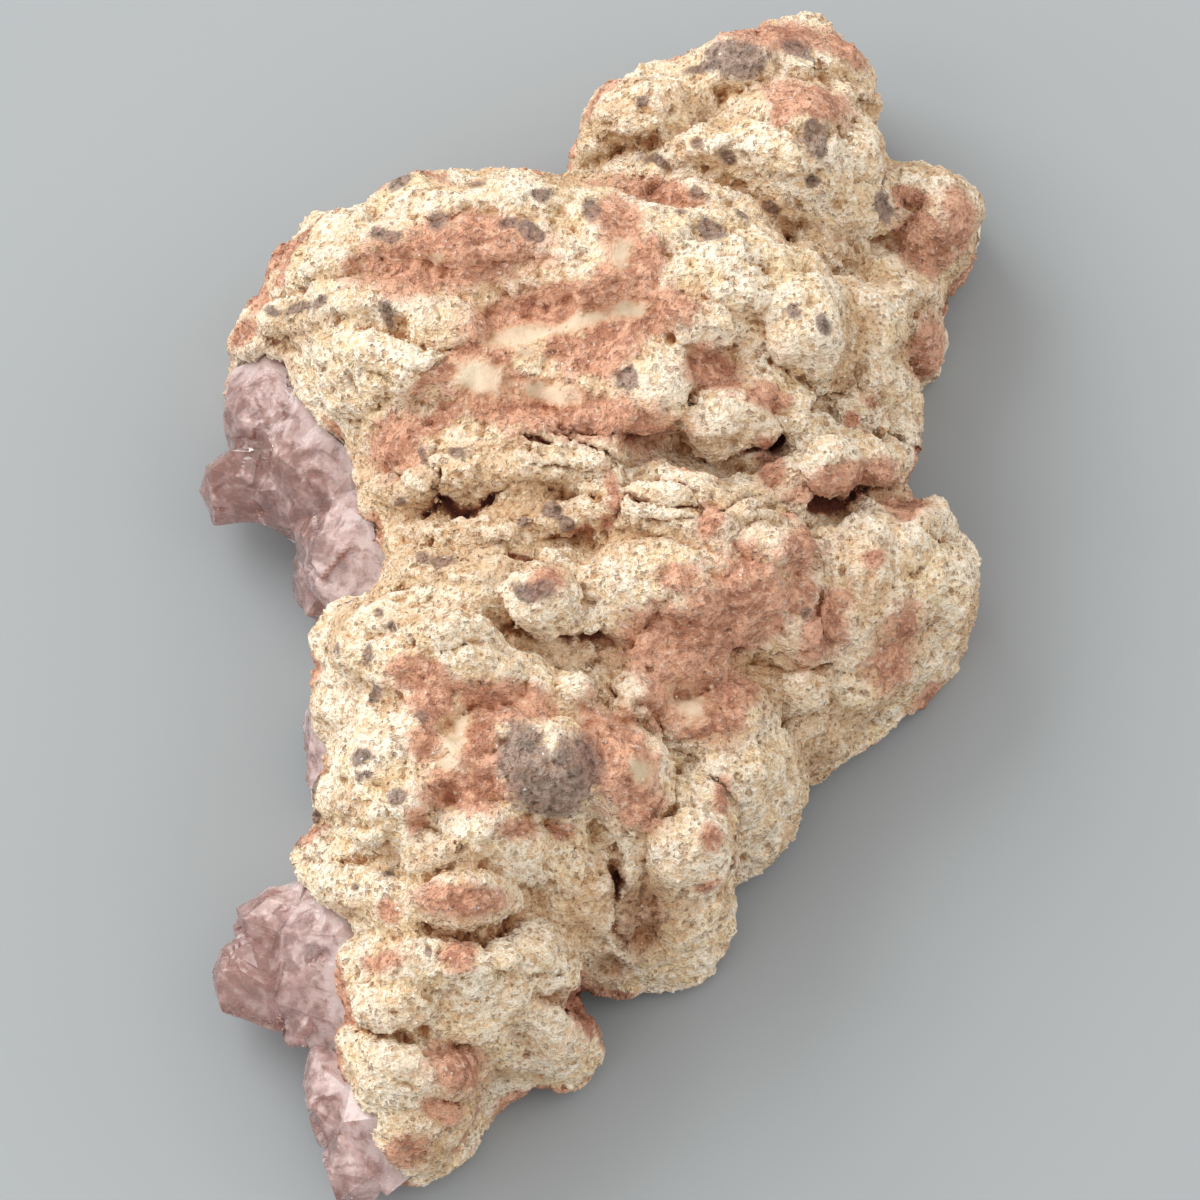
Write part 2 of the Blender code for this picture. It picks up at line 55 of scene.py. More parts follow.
toMetres = 0.001  # meshes are shaped in millimetres and scaled at the end

# How the outer face lies: places on it are given across and along it, in millimetres from its
# middle, as it shows when it is looked at square on
face = {
    "lean": math.radians(25),  # square on to the face is this far off the vertical
    "middleX": 0.64,
    "middleY": 3.82,
}
# Coral stains: across, along, half sizes, turn in degrees, strength
coralStains = (
    (16.1, 52, 5.4, 1.6, -4, 1), (22.8, 50.8, 3.1, 1.2, -35, 1), (-3.1, 41.5, 0.9, 2.9, -20, 1),
    (6.6, 50.6, 0.9, 1, 0, 0.8), (19.4, 45.7, 4.7, 2, -12, 1), (16.4, 44.2, 1, 1, 0, 0.8),
    (28.7, 36.8, 1.9, 1.2, -20, 1), (29.8, 32.6, 2.5, 3.1, 30, 1), (33.1, 34.7, 1.7, 3.5, 0, 1),
    (30.3, 22.3, 2, 3.7, -10, 1), (5, 37.1, 4.4, 1.3, -14, 1), (1.7, 34.4, 1.9, 4.1, 12, 1),
    (3.7, 30.3, 2, 2.9, -10, 1), (0.9, 28.4, 1.5, 2, 0, 0.9), (10.2, 20.6, 2.9, 2, -20, 1),
    (14.9, 18.3, 2.2, 1.2, -15, 0.9), (24.7, 18, 0.8, 0.8, 0, 0.7), (24.1, 15.6, 0.7, 0.7, 0, 0.7),
    (-34.7, 20.6, 0.9, 3.9, 0, 1), (-32.8, 24.4, 1, 1.7, -40, 1), (-31, 27.5, 0.8, 1.5, -30, 0.8),
    (-29.4, 29.1, 0.9, 0.7, 0, 0.8), (-20.2, 38.3, 2.5, 0.7, 25, 0.9), (-13.8, 31, 8.4, 3.1, 6, 1),
    (-11, 34.1, 2.7, 1.2, -10, 1), (-5, 26.3, 7.6, 1.8, 14, 1), (-13, 21.5, 4.9, 0.9, 35, 1),
    (-9.2, 21.1, 1.2, 1.7, 0, 1), (-3.5, 22.8, 1.7, 1.2, 0, 1), (-7.1, 19.4, 2.7, 1, -10, 1),
    (0.4, 22.8, 4.1, 2.5, 24, 1), (3.7, 25.7, 5.2, 2, 10, 1), (-3.7, 16.9, 10.1, 2.2, -8, 1),
    (3.7, 15, 3.1, 1.9, -20, 1), (-18.8, 14, 3.1, 2.7, 20, 1), (-14.7, 16.1, 3.5, 1, 28, 1),
    (-22.2, 6.4, 0.8, 1.9, 0, 0.9), (-1.5, 6.1, 1.5, 0.7, 10, 0.7), (0.6, 6.9, 0.8, 0.8, 0, 0.7),
    (1.1, 10.1, 0.7, 2.5, 10, 0.9), (-4, 2.3, 1.1, 1.5, -20, 0.8), (5, 15, 2.2, 0.9, 0, 0.9),
    (15.2, 12.2, 1.4, 2, 0, 1), (22.9, 10.9, 5.1, 1.6, 14, 1), (27.5, 8.9, 2.3, 2.2, -20, 1),
    (22.7, 16.1, 0.6, 0.9, 0, 0.7), (9.9, 7.1, 1.3, 1.6, 0, 1), (18.9, 4.8, 2.2, 3.4, -42, 1),
    (17.9, 0.4, 1.7, 2.3, -30, 0.6), (20.1, -2.5, 2, 3.4, -16, 1), (24.8, 3.9, 1.2, 1, 0, 0.8),
    (13, -0.6, 3.6, 5.2, -6, 1), (7.6, -3.7, 6, 3.1, 0, 1), (7, 2, 2.2, 1.3, -20, 0.8),
    (6.2, -8.3, 2.3, 2.9, 0, 1), (10.3, -9.2, 2.6, 3.6, 20, 1), (8.6, -11.7, 1.7, 0.8, 0, 1),
    (13.1, -7.9, 1.7, 1.4, 0, 0.8), (-16.1, -6.6, 2.9, 1.7, -10, 1), (-14.7, -9, 2, 1.9, 0, 1),
    (-8.4, -8.9, 4.5, 1.7, -10, 1), (-10.6, -12.7, 1.6, 4.4, 0, 1), (-15.4, -12.4, 1.3, 2, 0, 1),
    (-11.9, -16.8, 4.1, 1.9, 0, 1), (-16.1, -19.4, 1.1, 1.3, 0, 0.8), (1.4, -13.6, 3.1, 4.9, 20, 1),
    (3.7, -18.3, 2.4, 2.1, 0, 0.8), (-3.4, -20.6, 1.3, 1.1, 0, 0.7), (-26.3, -21, 2.1, 0.9, 10, 0.9),
    (-24.7, -28.7, 0.9, 0.9, 0, 0.6), (-18.5, -27.5, 1.1, 1.1, 0, 0.7), (-19.4, -31.7, 2.1, 1.1, 10, 0.8),
    (-12.3, -30.8, 1.5, 1.8, -30, 0.8), (-11.9, -26.4, 4.5, 1.5, -4, 0.9), (-5.2, 1.8, 1, 1.5, 0, 0.8),
    (-11.7, -41.3, 3.5, 2, -20, 1), (-13.6, -45.2, 2.1, 1.1, -20, 0.9), (-20.4, -50.3, 1.2, 2.4, 10, 1),
    (-17.2, -49, 2.2, 1.6, 30, 1), (-18.3, -52.3, 1.6, 1.1, 0, 0.9), (11, -17.4, 1, 1.5, 0, 0.9),
    (10, -21.2, 1.1, 1.3, 0, 1), (9.4, -25.5, 1.3, 0.6, 20, 0.8), (-7.3, -20.2, 2.2, 1, 0, 0.5),
    (9.2, 0, 1.4, 1.2, 0, 0.6), (27.5, -2.8, 1.7, 2.9, 0, 0.45), (30.3, -9.2, 2.5, 1.7, 40, 0.5),
    (26.2, -6, 2.6, 2.6, 0, 0.45),
)
# Grey-mauve spots, given the same way
darkSpots = (
    (12.4, 49.4, 2.6, 1.6, -6, 1), (9, 48.4, 1.7, 0.6, 4, 0.9), (18, 50.5, 1.6, 0.9, -25, 0.75),
    (3.8, 45.4, 0.6, 0.6, 0, 0.9), (19.4, 42.2, 1.5, 1.9, 10, 1), (19.4, 38.1, 0.7, 0.5, 0, 0.9),
    (8.7, 41.6, 0.7, 0.6, -30, 0.8), (11.6, 40.3, 0.9, 0.7, -40, 0.85), (5, 40.1, 1.6, 0.6, -12, 0.8),
    (26, 36, 0.8, 1.7, 25, 0.9), (-0.8, 35.6, 1.1, 1.6, 0, 0.7), (8.7, 37.2, 0.6, 0.7, 0, 0.6),
    (7.2, 35, 0.6, 0.5, 0, 0.8), (10.1, 33.4, 1.5, 1.1, -20, 1), (13, 35, 0.8, 0.5, 0, 0.85),
    (15.5, 35.6, 0.8, 0.6, -35, 0.85), (17.4, 25.9, 0.6, 0.6, 0, 0.6), (19.9, 25, 0.7, 1.1, 20, 0.7),
    (2.3, 19.9, 0.8, 1.4, -25, 1), (-18.2, 38.1, 1.3, 0.9, 30, 0.8), (-11.4, 37.7, 1, 0.5, 0, 0.4),
    (-14.6, 34.3, 0.7, 0.7, 0, 0.9), (-19.2, 33, 1.6, 0.6, 10, 0.6), (-5.4, 36.4, 1.1, 0.6, -20, 0.8),
    (-8.2, 33.9, 1.3, 0.5, 5, 0.85), (-6.5, 33.5, 1.2, 0.8, -30, 0.9), (-5.3, 32.6, 0.6, 0.6, 0, 0.8),
    (-19.1, 25.8, 0.7, 1.3, 5, 0.95), (-27.7, 26.4, 2.2, 0.6, 6, 0.7), (-29.9, 26.2, 1.1, 0.5, 0, 0.6),
    (-25.3, 27, 1.1, 0.6, 25, 0.75), (-27.4, 28.2, 0.7, 0.4, 0, 0.5), (-13, 13.1, 0.9, 0.6, -20, 0.95),
    (-15.9, 13.1, 0.4, 1.1, 10, 0.6), (-18.2, 8.7, 0.7, 0.5, 0, 0.7), (-4.4, 8.1, 0.9, 0.8, 0, 1),
    (-3, 6.8, 1, 0.7, -20, 1), (-7, 7.2, 0.6, 0.6, 0, 0.5), (-14, 3.6, 1.1, 0.7, 5, 0.85),
    (-16.1, 4, 0.7, 0.5, 0, 0.7), (-5, 0.9, 0.9, 1.1, -30, 0.8), (-6.6, 0.7, 1.3, 0.8, -30, 0.8),
    (-19.8, -1.2, 0.5, 0.4, 0, 0.8), (-18.5, -2.4, 0.5, 0.6, 0, 0.8), (-23.7, -4.2, 0.6, 0.6, 0, 0.8),
    (-20.9, -5, 0.6, 1.1, -15, 0.85), (-20.2, -8.3, 0.6, 0.8, 0, 0.9),
    (-21.3, -13.8, 1.1, 0.8, 30, 0.75), (-17.9, -17.2, 1, 1, 0, 0.7), (-20.7, -15.5, 0.9, 0.4, 0, 0.5),
    (-15.9, -10.1, 0.7, 0.6, 0, 0.7), (-21.7, -25.1, 0.5, 0.4, 0, 0.7),
    (-18.7, -23.9, 0.9, 0.7, 0, 0.4), (-6.8, -14.5, 2.1, 3.4, 6, 1), (-4.2, -17, 3.6, 2.3, 0, 1),
    (-1.8, -14.6, 1.9, 3.1, 8, 1), (-4.2, -15.4, 2.6, 1.9, 0, 1), (-27.5, -21.8, 0.9, 0.5, 0, 0.4),
    (-15, -30.8, 0.4, 0.4, 0, 0.8), (18.3, -1.1, 0.6, 0.6, 0, 0.5),
)
# Smooth milky quartz showing through, given the same way
milkyPatches = (
    (-10.5, 20, 2.4, 1.6, -28, 1), (-4.5, 18.7, 2.8, 0.9, -12, 0.9), (-7.1, 23.8, 2.8, 0.8, 8, 0.9),
    (-1.5, 25, 2.9, 0.7, 20, 1), (2.7, 26, 1.8, 0.7, 10, 0.8), (1.9, 31.1, 0.8, 1.6, -10, 0.8),
    (-15, 30.8, 0.9, 0.5, 0, 0.5), (7.9, -9.2, 1.8, 1.3, -40, 1), (-12.7, -11.7, 0.8, 2.2, -8, 1),
    (-13.5, -14.5, 0.6, 0.7, 0, 0.6), (3.7, -15.1, 1.3, 0.9, -30, 0.6),
    (-6.6, 22.3, 1.2, 0.5, 10, 0.5),
)
# Cracks: half width, depth, then the points they run through
cracks = (
    (0.5, 1.6, ((-7, 15), (-5.5, 14.9), (-4.8, 14.6), (-4.2, 14.4))),
    (0.45, 1.4, ((-4.2, 16.1), (-2.3, 15), (0, 13.5), (1.1, 12.6), (2.6, 12.3))),
    (0.4, 1.2, ((3.2, 14), (4.6, 14.1), (6.4, 14.4), (7.7, 14.7))),
    (0.4, 1, ((8.3, 13.6), (9.6, 12.8), (11.5, 12.6), (13.3, 13))),
    (0.3, 0.9, ((-6.1, 12.2), (-3.7, 11.9), (-2.6, 11.9))), (0.3, 0.9, ((-2, 11.8), (0.6, 11.7))),
    (0.3, 0.9, ((-4.1, 9.9), (-1.8, 9.6), (0, 9.2))), (0.8, 2, ((2.6, 10.1), (3.3, 9.6), (4.1, 9.4))),
    (0.45, 1.2, ((2.6, 12.3), (2, 10.6), (1.8, 9.2), (1.1, 7.3))),
    (0.45, 1.4, ((-16.5, 7.7), (-14.7, 8.1), (-13.3, 8.2), (-11.9, 8.4), (-10.1, 9.1), (-8.7, 9.9))),
    (0.8, 1.6, ((-13.9, 8.2), (-12.9, 8.1))),
    (0.35, 1, ((-15, 11.9), (-14.5, 11), (-15, 9.6), (-14.3, 8.4))),
    (0.4, 1, ((-11.7, 5.7), (-10.6, 5.8))),
    (0.5, 1.3, ((-7.7, 4.1), (-6.4, 3.9), (-4.1, 4), (-2.8, 3.4), (-1.8, 2.9))),
    (0.3, 0.7, ((-4.3, 5.5), (-0.9, 5))), (0.35, 1, ((4.4, 8.5), (6.4, 8.3), (8.3, 8.7), (8.7, 7.5))),
    (0.45, 1.2, ((11.2, 8.4), (12.8, 9.2), (14.7, 9.4))),
    (0.6, 1.6, ((13.3, 13.5), (14.9, 13.9), (16.6, 14.5))), (0.5, 1.4, ((19, 17.2), (20, 18.1))),
    (0.9, 2.2, ((19.4, 8.1), (20.4, 8.4), (21.5, 9))), (0.5, 1.6, ((21.5, 9), (23.9, 9.7), (26.7, 10.1))),
    (0.7, 2, ((-3.6, -3.7), (-2.8, -4.1), (-2.2, -3.7))),
    (0.8, 2, ((-1.4, -4), (-0.3, -3.7), (0.6, -3.3))), (0.5, 1.4, ((0.5, -7.6), (1.2, -8.4))),
    (0.5, 1.2, ((12.3, -5), (13, -4.3))),
    (0.4, 1, ((-16.1, -28.6), (-14.7, -29.2), (-11.9, -29.5), (-9.2, -29.4), (-7.1, -28.6))),
    (0.45, 1, ((-23.6, -36), (-22.8, -37), (-20.6, -38.1), (-18.3, -38.2), (-16.1, -37.8), (-15, -36.4))),
    (0.3, 0.9, ((-13.8, -44.3), (-12.1, -44.7))), (0.6, 1.6, ((-2.9, -35.8), (-2.4, -36.7))),
    (0.45, 1.3, ((-30.7, 24), (-29.8, 23.3))), (0.4, 1.3, ((-29.4, 23.6), (-28.8, 22.8), (-28, 22.7))),
    (0.4, 1.2, ((-3.7, 16.5), (-0.9, 15.4), (1.8, 15))),
    (0.4, 1.2, ((4.6, 11), (7, 10.6), (8.6, 9.9), (9.2, 8.7))),
    (0.35, 1, ((-20.2, 11.9), (-18.3, 11.2), (-17.4, 11.9))),
    (0.35, 1, ((3.7, 7.3), (5.7, 7), (8.3, 7.3))),
    (0.35, 0.9, ((-18.8, 1.4), (-16.5, 0.9), (-14.7, 1.5))),
    (0.35, 1, ((-11.9, -0.9), (-9.2, -1.7), (-7.3, -2.9), (-5, -3.7))),
    (0.35, 1, ((17.4, 9.2), (15.6, 8.3), (13.8, 8.1))),
    (0.46, 0.45, ((-3.7, 39.4), (0, 40.4), (3.7, 41.4), (7.8, 42.9), (10.3, 45.3), (13.3, 46.2),
                  (17.4, 47.3), (21.6, 48.3))),
    (0.46, 0.45, ((8.3, 39.3), (12.4, 37.8), (15.6, 35.3), (17.9, 33), (22, 31.4), (24.6, 29.4),
                  (26.6, 27.5))),
    (0.46, 0.5, ((21.8, 27.7), (22.9, 24.8), (22.8, 21.8), (23.7, 19.1))),
    (0.46, 1.6, ((19.7, 17.2), (20.6, 18), (21.8, 18.3))),
    (0.23, 0.7, ((-31.9, 24), (-31, 23.3), (-30.1, 22.8))),
    (0.23, 0.7, ((-30.6, 24), (-29.4, 23.1), (-28.3, 22.6))),
    (0.23, 0.6, ((-29.4, 23.9), (-27.9, 23.1))),
    (0.28, 0.7, ((-21.1, 22.2), (-19.1, 21.5), (-17.2, 20.7), (-16.5, 20), (-15, 20.9), (-14.1, 21.5))),
    (0.28, 0.8, ((0, -20.4), (2, -20.7), (4.1, -20), (5.1, -18.3), (5.7, -16.5))),
    (0.37, 1.2, ((-2.8, -35.8), (-2, -36.9), (-1.1, -37.8))),
    (0.28, 0.9, ((1.7, -24.8), (2.4, -26.1), (2, -27.5), (2.6, -29.4), (3.7, -31.2))),
    (0.28, 0.7, ((12.8, -6.1), (14.7, -5.5), (17.4, -6.6), (19.4, -6.2), (21.1, -5.9))),
    (0.28, 0.8, ((4.6, -9.2), (5.5, -11.5), (6.2, -13.3), (8.3, -13.9))),
    (1.83, 0.7, ((2.6, -26.6), (3.7, -29.4), (5.7, -31.7))),
    (0.64, 1.2, ((1.7, -25), (1.4, -27.5), (1.5, -29.9), (2.6, -31.6))),
    (1.28, 0.5, ((0.4, -32.8), (-1.4, -35.8), (-2.6, -37.6))),
    (0.46, 0.8, ((8.1, 14.2), (5.7, 13.8), (3.9, 13.9))),
    (0.28, 0.7, ((-5.9, -24.4), (-5, -25.3), (-4, -25))),
)
# Knobs of the outer face: across, along, half sizes, turn in degrees, height in millimetres
knobs = (
    (11.7, 49.4, 4.2, 2.4, 8, 1), (4.6, 45.1, 5.5, 2.4, 12, 0.8), (18.3, 45.1, 4.8, 2.4, -10, 1),
    (23.9, 49, 2.2, 3.1, -30, 0.7), (9.2, 42.2, 3.7, 1.5, 10, 0.5), (15.6, 41.3, 4.6, 2, -25, 0.7),
    (19.4, 41.3, 2.4, 2.4, 0, 0.5), (24.8, 41.3, 2, 3.1, 20, 0.6), (29.8, 38.3, 3.5, 1.8, -15, 0.8),
    (31.9, 34.3, 2.8, 4, 0, 1), (29.6, 32.5, 2, 2.2, 0, 0.8), (25.7, 35.6, 2.4, 2.2, -20, 0.7),
    (29.8, 28.4, 2.8, 2, 20, 0.7), (30.5, 24.8, 1.8, 1.8, 0, 0.7), (30.7, 22.2, 1.8, 2.2, 0, 0.8),
    (25.5, 25.9, 2.8, 3.5, 10, 0.9), (19.3, 24.6, 4, 4.8, 10, 1.3), (21.1, 31, 3.7, 1.8, -30, 0.8),
    (15.6, 31.7, 3.7, 2, -20, 0.7), (12.8, 28.4, 3.9, 2.2, -20, 0.6), (9.2, 24.8, 3.3, 2.2, -20, 0.6),
    (25.7, 31, 2.4, 1.8, 0, 0.6), (26.6, 19.7, 2.6, 2.2, -20, 0.8), (25, 22.8, 1.8, 1.8, 0, 0.6),
    (3.7, 39.3, 3.7, 1.7, 6, 0.7), (9.2, 36.2, 4.2, 1.8, -14, 0.6), (-0.5, 35.6, 2.2, 2.6, 0, 0.6),
    (12.4, 35.3, 2.8, 1.5, -10, 0.5), (5.5, 33.9, 2.8, 1.8, 0, 0.5), (-15.6, 37.2, 4.8, 2, 10, 0.9),
    (-7.3, 37.2, 4.6, 1.7, 0, 0.8), (-23.9, 33.8, 3.1, 1.8, 35, 0.9), (-28.4, 30.1, 3.3, 1.7, 25, 0.8),
    (-24.8, 31, 2.8, 1.7, 20, 0.7), (-18.8, 33, 3.7, 1.8, 10, 0.6), (-12.8, 32.1, 4.6, 2, -5, 0.6),
    (-5.5, 32.1, 3.7, 2.2, -10, 0.6), (-16.5, 27.5, 3.7, 2, -5, 0.5), (-23.4, 27.5, 3.3, 1.8, 0, 0.6),
    (-28.9, 25.9, 3.3, 1.7, 15, 0.7), (-20.2, 22.5, 4, 1.8, -8, 0.6), (-22.9, 18.8, 2.8, 2.4, 0, 0.6),
    (-15.6, 20.2, 3.7, 2.2, 10, 0.6), (-18.8, 14.7, 3.3, 2.2, 0, 0.6), (-13.8, 24.8, 3.7, 1.8, 0, 0.5),
    (-5.5, 28.9, 3.7, 1.8, 0, 0.5), (0, 28.4, 2.8, 2.2, 0, 0.5), (4.1, 19.4, 4, 4.2, 10, 1.2),
    (-0.9, 18.3, 3.7, 2.2, 0, 0.6), (11.7, 15.6, 3.9, 3.3, 0, 1.5), (17.9, 16.7, 1.8, 2.8, 10, 1),
    (14.9, 19.3, 2.8, 1.8, -20, 0.6), (20.9, 12.1, 2.8, 2.6, 10, 1.2), (26.4, 13.9, 3.7, 3.3, 10, 1.5),
    (23.1, 17.2, 1.8, 1.7, 0, 0.8), (28, 17.4, 2, 2.2, 0, 0.8), (7.5, 11.2, 4.6, 2, -4, 0.6),
    (-0.3, 11, 3.1, 1.8, -8, 0.8), (0, 8.7, 2.8, 1.3, 0, 0.6), (15.1, 8.7, 4, 1.3, 5, 0.6),
    (-5.5, 11.9, 3.7, 1.3, -6, 0.6), (-11.9, 11.9, 4.6, 1.7, 0, 0.6), (-18.3, 10.1, 3.3, 1.7, 0, 0.5),
    (-12.8, 6.4, 5.5, 1.3, 0, 0.5), (-3.7, 7.3, 2.2, 1.8, 0, 0.6), (4.6, 7.3, 3.7, 1.1, 0, 0.5),
    (-18.3, 3.7, 4.6, 1.5, -5, 0.5), (-11, 3.2, 3.7, 1.5, 0, 0.5), (10.8, 6.1, 1.4, 1.6, 0, 0.7),
    (4.6, 3.2, 4.8, 2.2, 0, 0.8), (15.6, 5, 3.1, 1.8, -10, 0.7), (20.4, 3.7, 2.4, 3.1, 30, 1),
    (8.3, 0, 4, 2.4, -20, 0.8), (19.4, -1.8, 3.9, 3.7, 0, 1.3), (14.2, -0.9, 2.8, 4, 0, 0.8),
    (7.3, -5, 4.6, 2.8, 0, 0.9), (1.8, 0, 3.1, 2.8, 0, 0.7), (-0.9, -1.4, 2.4, 2.2, 0, 0.7),
    (-5, -0.2, 3.3, 3.1, -10, 1.2), (-1.4, -7.2, 2, 1.7, 0, 0.9), (3.7, -8.3, 2.8, 2.2, 0, 0.7),
    (8.3, -11.5, 3.1, 2.8, 0, 0.7), (13.8, -9.2, 2.8, 2.4, 0, 0.7), (23.9, 3.7, 2.9, 4.4, 10, 1),
    (28, 4.8, 2.2, 2.4, 0, 0.8), (30.5, 8.3, 2.4, 2.4, 0, 0.9), (31.7, 1.4, 2.6, 3.7, 20, 0.9),
    (27.1, -0.9, 3.1, 3.1, 0, 0.9), (28, -5.5, 3.3, 2.4, 20, 0.7), (22.9, -3.7, 2.4, 3.1, 20, 0.7),
    (23.9, -8.3, 2.8, 2, 0, 0.6), (18.3, -8.3, 2.9, 2, 20, 0.7), (19.3, -12.8, 3.1, 2, 0, 0.6),
    (11, -17.4, 3.9, 3.3, -20, 1.1), (14.7, -15.6, 2.2, 2.2, 0, 0.6), (-20.6, -0.5, 3.7, 2, 10, 0.7),
    (-14.7, -2.3, 3.7, 1.8, 0, 0.6), (-24.3, -5.5, 2.9, 2.8, 0, 0.8), (-18.8, -5.5, 3.1, 2.2, 0, 0.6),
    (-10.6, -6.6, 3.5, 2.4, -5, 1.1), (-21.1, -13.6, 3.3, 2.4, 0, 1), (-22.9, -9.6, 2.8, 1.7, 0, 0.6),
    (-16.9, -17.4, 2, 2, 0, 0.9), (-22, -17.9, 3.1, 1.7, 0, 0.6), (-14.7, -8.3, 3.1, 2.2, 0, 0.6),
    (-4.4, -14.9, 4.6, 4.2, 0, 1.3), (2.9, -16.1, 3.3, 4.6, 0, 1.2), (-11.9, -14.7, 2.8, 3.1, 0, -0.5),
    (-9.2, -11, 3.1, 1.7, 0, 0.6), (-11, -19.3, 3.7, 1.7, 0, 0.5), (8.3, -22.5, 3.9, 3.7, 0, 1.3),
    (-23.4, -21.7, 4.2, 1.3, 4, 0.9), (-23.4, -25.7, 5.1, 2.2, 0, 1.1), (-15.6, -22, 2.8, 1.7, 0, 0.6),
    (-11.7, -26.4, 4.6, 2.4, 0, 1.2), (-5.5, -22.9, 3.1, 2.4, 0, 0.6), (-0.5, -25.7, 4, 4.6, 0, 0.8),
    (-18.3, -27.5, 2.8, 2.2, 0, 0.6), (-22.9, -30.3, 3.3, 2.2, 0, 0.6), (-16.5, -32.1, 3.7, 2.4, 0, 0.7),
    (-11.9, -32.6, 3.1, 2.4, 0, 0.7), (-5.5, -30.7, 4, 2.4, 0, 0.7), (0, -32.1, 2.8, 3.1, 0, 0.7),
    (-18.8, -35.8, 4.2, 2.4, 0, 1.1), (-11, -37.2, 3.7, 2, 0, 0.7), (-22.9, -39.4, 3.3, 1.7, -20, 0.7),
    (-18.8, -41.7, 4.8, 2.8, -15, 1.1), (-22, -45.4, 3.3, 2.4, -20, 0.8),
    (-16.5, -46.3, 3.1, 2.2, 0, 0.7), (-12.4, -42.2, 2.9, 2.4, 0, 0.8), (-4.1, -39.3, 2.6, 3.1, 0, 1),
    (-7.8, -36.7, 3.1, 1.8, 0, 0.6), (-7.3, -40.4, 2.8, 1.8, 0, 0.6), (-20.2, -50.5, 2.4, 3.1, 0, 0.9),
    (-13.8, -45, 2.2, 1.8, 0, 0.7), (-2.8, -35.3, 1.8, 1.8, 0, 0.6),
)
# Areas where the rock is tan and not cream, and where shade is painted in tan on the right flank and in
# the cave, given like the stains
tanAndShadeAreas = (
    (-11.9, 9.2, 13.8, 5, -2, 1), (-14.7, 3.7, 10.1, 2.8, -4, 1), (1.8, 5.5, 6.4, 2, 0, 0.8),
    (13.8, 8.7, 6.4, 2, 0, 0.8), (-27.5, 24.8, 4.6, 1.5, 0, 0.9), (-29.4, 20.9, 3.7, 1.3, -30, 0.8),
    (-22.9, 7.3, 1.7, 3.7, 0, 1), (3.7, 45, 8.3, 1.7, 15, 0.8), (9.2, 40.4, 6.4, 1.3, -20, 0.6),
    (18.3, 34.4, 5.5, 1.5, -30, 0.9), (24.8, 30.3, 3.7, 1.5, -40, 0.7), (22.9, 24.8, 1.1, 5.5, 0, 0.9),
    (22.5, 20.2, 2.3, 2.8, 0, 0.9), (23.9, 1.8, 2.8, 5.5, 10, 0.8), (14.7, -7.3, 8.3, 2.8, 0, 0.8),
    (20.2, -12.8, 6.4, 3.7, 20, 1), (0, -4.6, 4.6, 1.8, 0, 0.9), (0.9, -8.3, 3.7, 1.5, -30, 0.8),
    (4.6, -28.4, 4.2, 4.6, 0, 1.3), (-0.9, -27.5, 3.7, 5.5, 0, 0.9), (-12.8, -22.9, 5.5, 2, 0, 0.8),
    (-12.8, -27.5, 4.6, 2, 0, 0.9), (-22.9, -27.5, 4.6, 1.5, 0, 0.7), (-22.9, -18.3, 3.7, 2, 0, 0.8),
    (-19.3, -36.7, 5.5, 2, 0, 0.8), (-11.9, -44, 3.7, 2.8, 0, 0.8), (-0.9, -34.9, 3.7, 2.8, -20, 0.9),
    (-14.7, -49.5, 2.8, 4.6, 30, 1), (-27.5, 32.6, 2.8, 1.3, 40, 0.5), (29.8, 27.5, 2.4, 1.8, 0, 0.8),
    (27.5, -3.7, 5.5, 4.6, 0, 0.5), (-5.5, -3.7, 5.5, 1.3, -30, 0.7), (25.7, -9.2, 3.7, 1.8, 20, 0.9),
    (-16.5, -1.8, 5.5, 1.3, 0, 0.4), (3.7, -20.2, 2.8, 1.3, 0, 0.9),
)
# Deep places with painted shade, also carved deeper as caves, given the same way
shadedPlaces = (
    (3.7, -28.6, 2.2, 4, 0, 1), (1.1, -32.8, 2.2, 1.3, -30, 0.8), (-1.7, -36, 2.4, 1.3, -40, 0.9),
    (21.7, 8.1, 1.5, 0.8, -10, 0.9), (14.9, 14, 2.2, 0.6, -10, 0.8), (-3.7, -35.3, 1.8, 0.8, 0, 0.7),
    (3.7, -9.2, 1.3, 0.7, 0, 0.5), (-3.1, -3.7, 0.9, 0.6, 0, 0.7), (0.6, -3.7, 1.1, 0.7, 0, 0.7),
    (1.4, -24.8, 0.7, 2.4, 0, 0.7),
)
marks = {"stain": coralStains, "spot": darkSpots, "milk": milkyPatches, "tan": tanAndShadeAreas}


def node(tree, kind, inputs=None, **settings):  # inputs by name or number: a value, or a socket to link
    made = tree.nodes.new(kind)
    for key, value in settings.items():
        setattr(made, key, value)
    for key, value in (inputs or {}).items():
        if isinstance(value, bpy.types.NodeSocket):
            tree.links.new(value, made.inputs[key])
        else:
            made.inputs[key].default_value = value
    return made


def maths(tree, operation, first, second=0.0, clamp=False):
    inputs = {0: first, 1: second}
    return node(tree, "ShaderNodeMath", inputs, operation=operation, use_clamp=clamp).outputs[0]


def times(tree, first, second):
    return maths(tree, "MULTIPLY", first, second)


def between(tree, value, low, high, outLow=0.0, outHigh=1.0):  # smooth step from low to high
    inputs = {"Value": value, "From Min": low, "From Max": high, "To Min": outLow, "To Max": outHigh}
    return node(tree, "ShaderNodeMapRange", inputs, interpolation_type="SMOOTHSTEP").outputs[0]


def noiseAt(tree, place, size, detail=2.0, roughness=0.5, output=0):  # size: millimetres a feature spans
    inputs = {"Vector": place, "Scale": 1 / size, "Detail": detail, "Roughness": roughness}
    return node(tree, "ShaderNodeTexNoise", inputs).outputs[output]


def cellsAt(tree, place, perMillimetre):
    return node(tree, "ShaderNodeTexVoronoi", {"Vector": place, "Scale": perMillimetre}).outputs


def scaled(tree, vector, amount):
    return node(tree, "ShaderNodeVectorMath", {0: vector, "Scale": amount}, operation="SCALE").outputs[0]


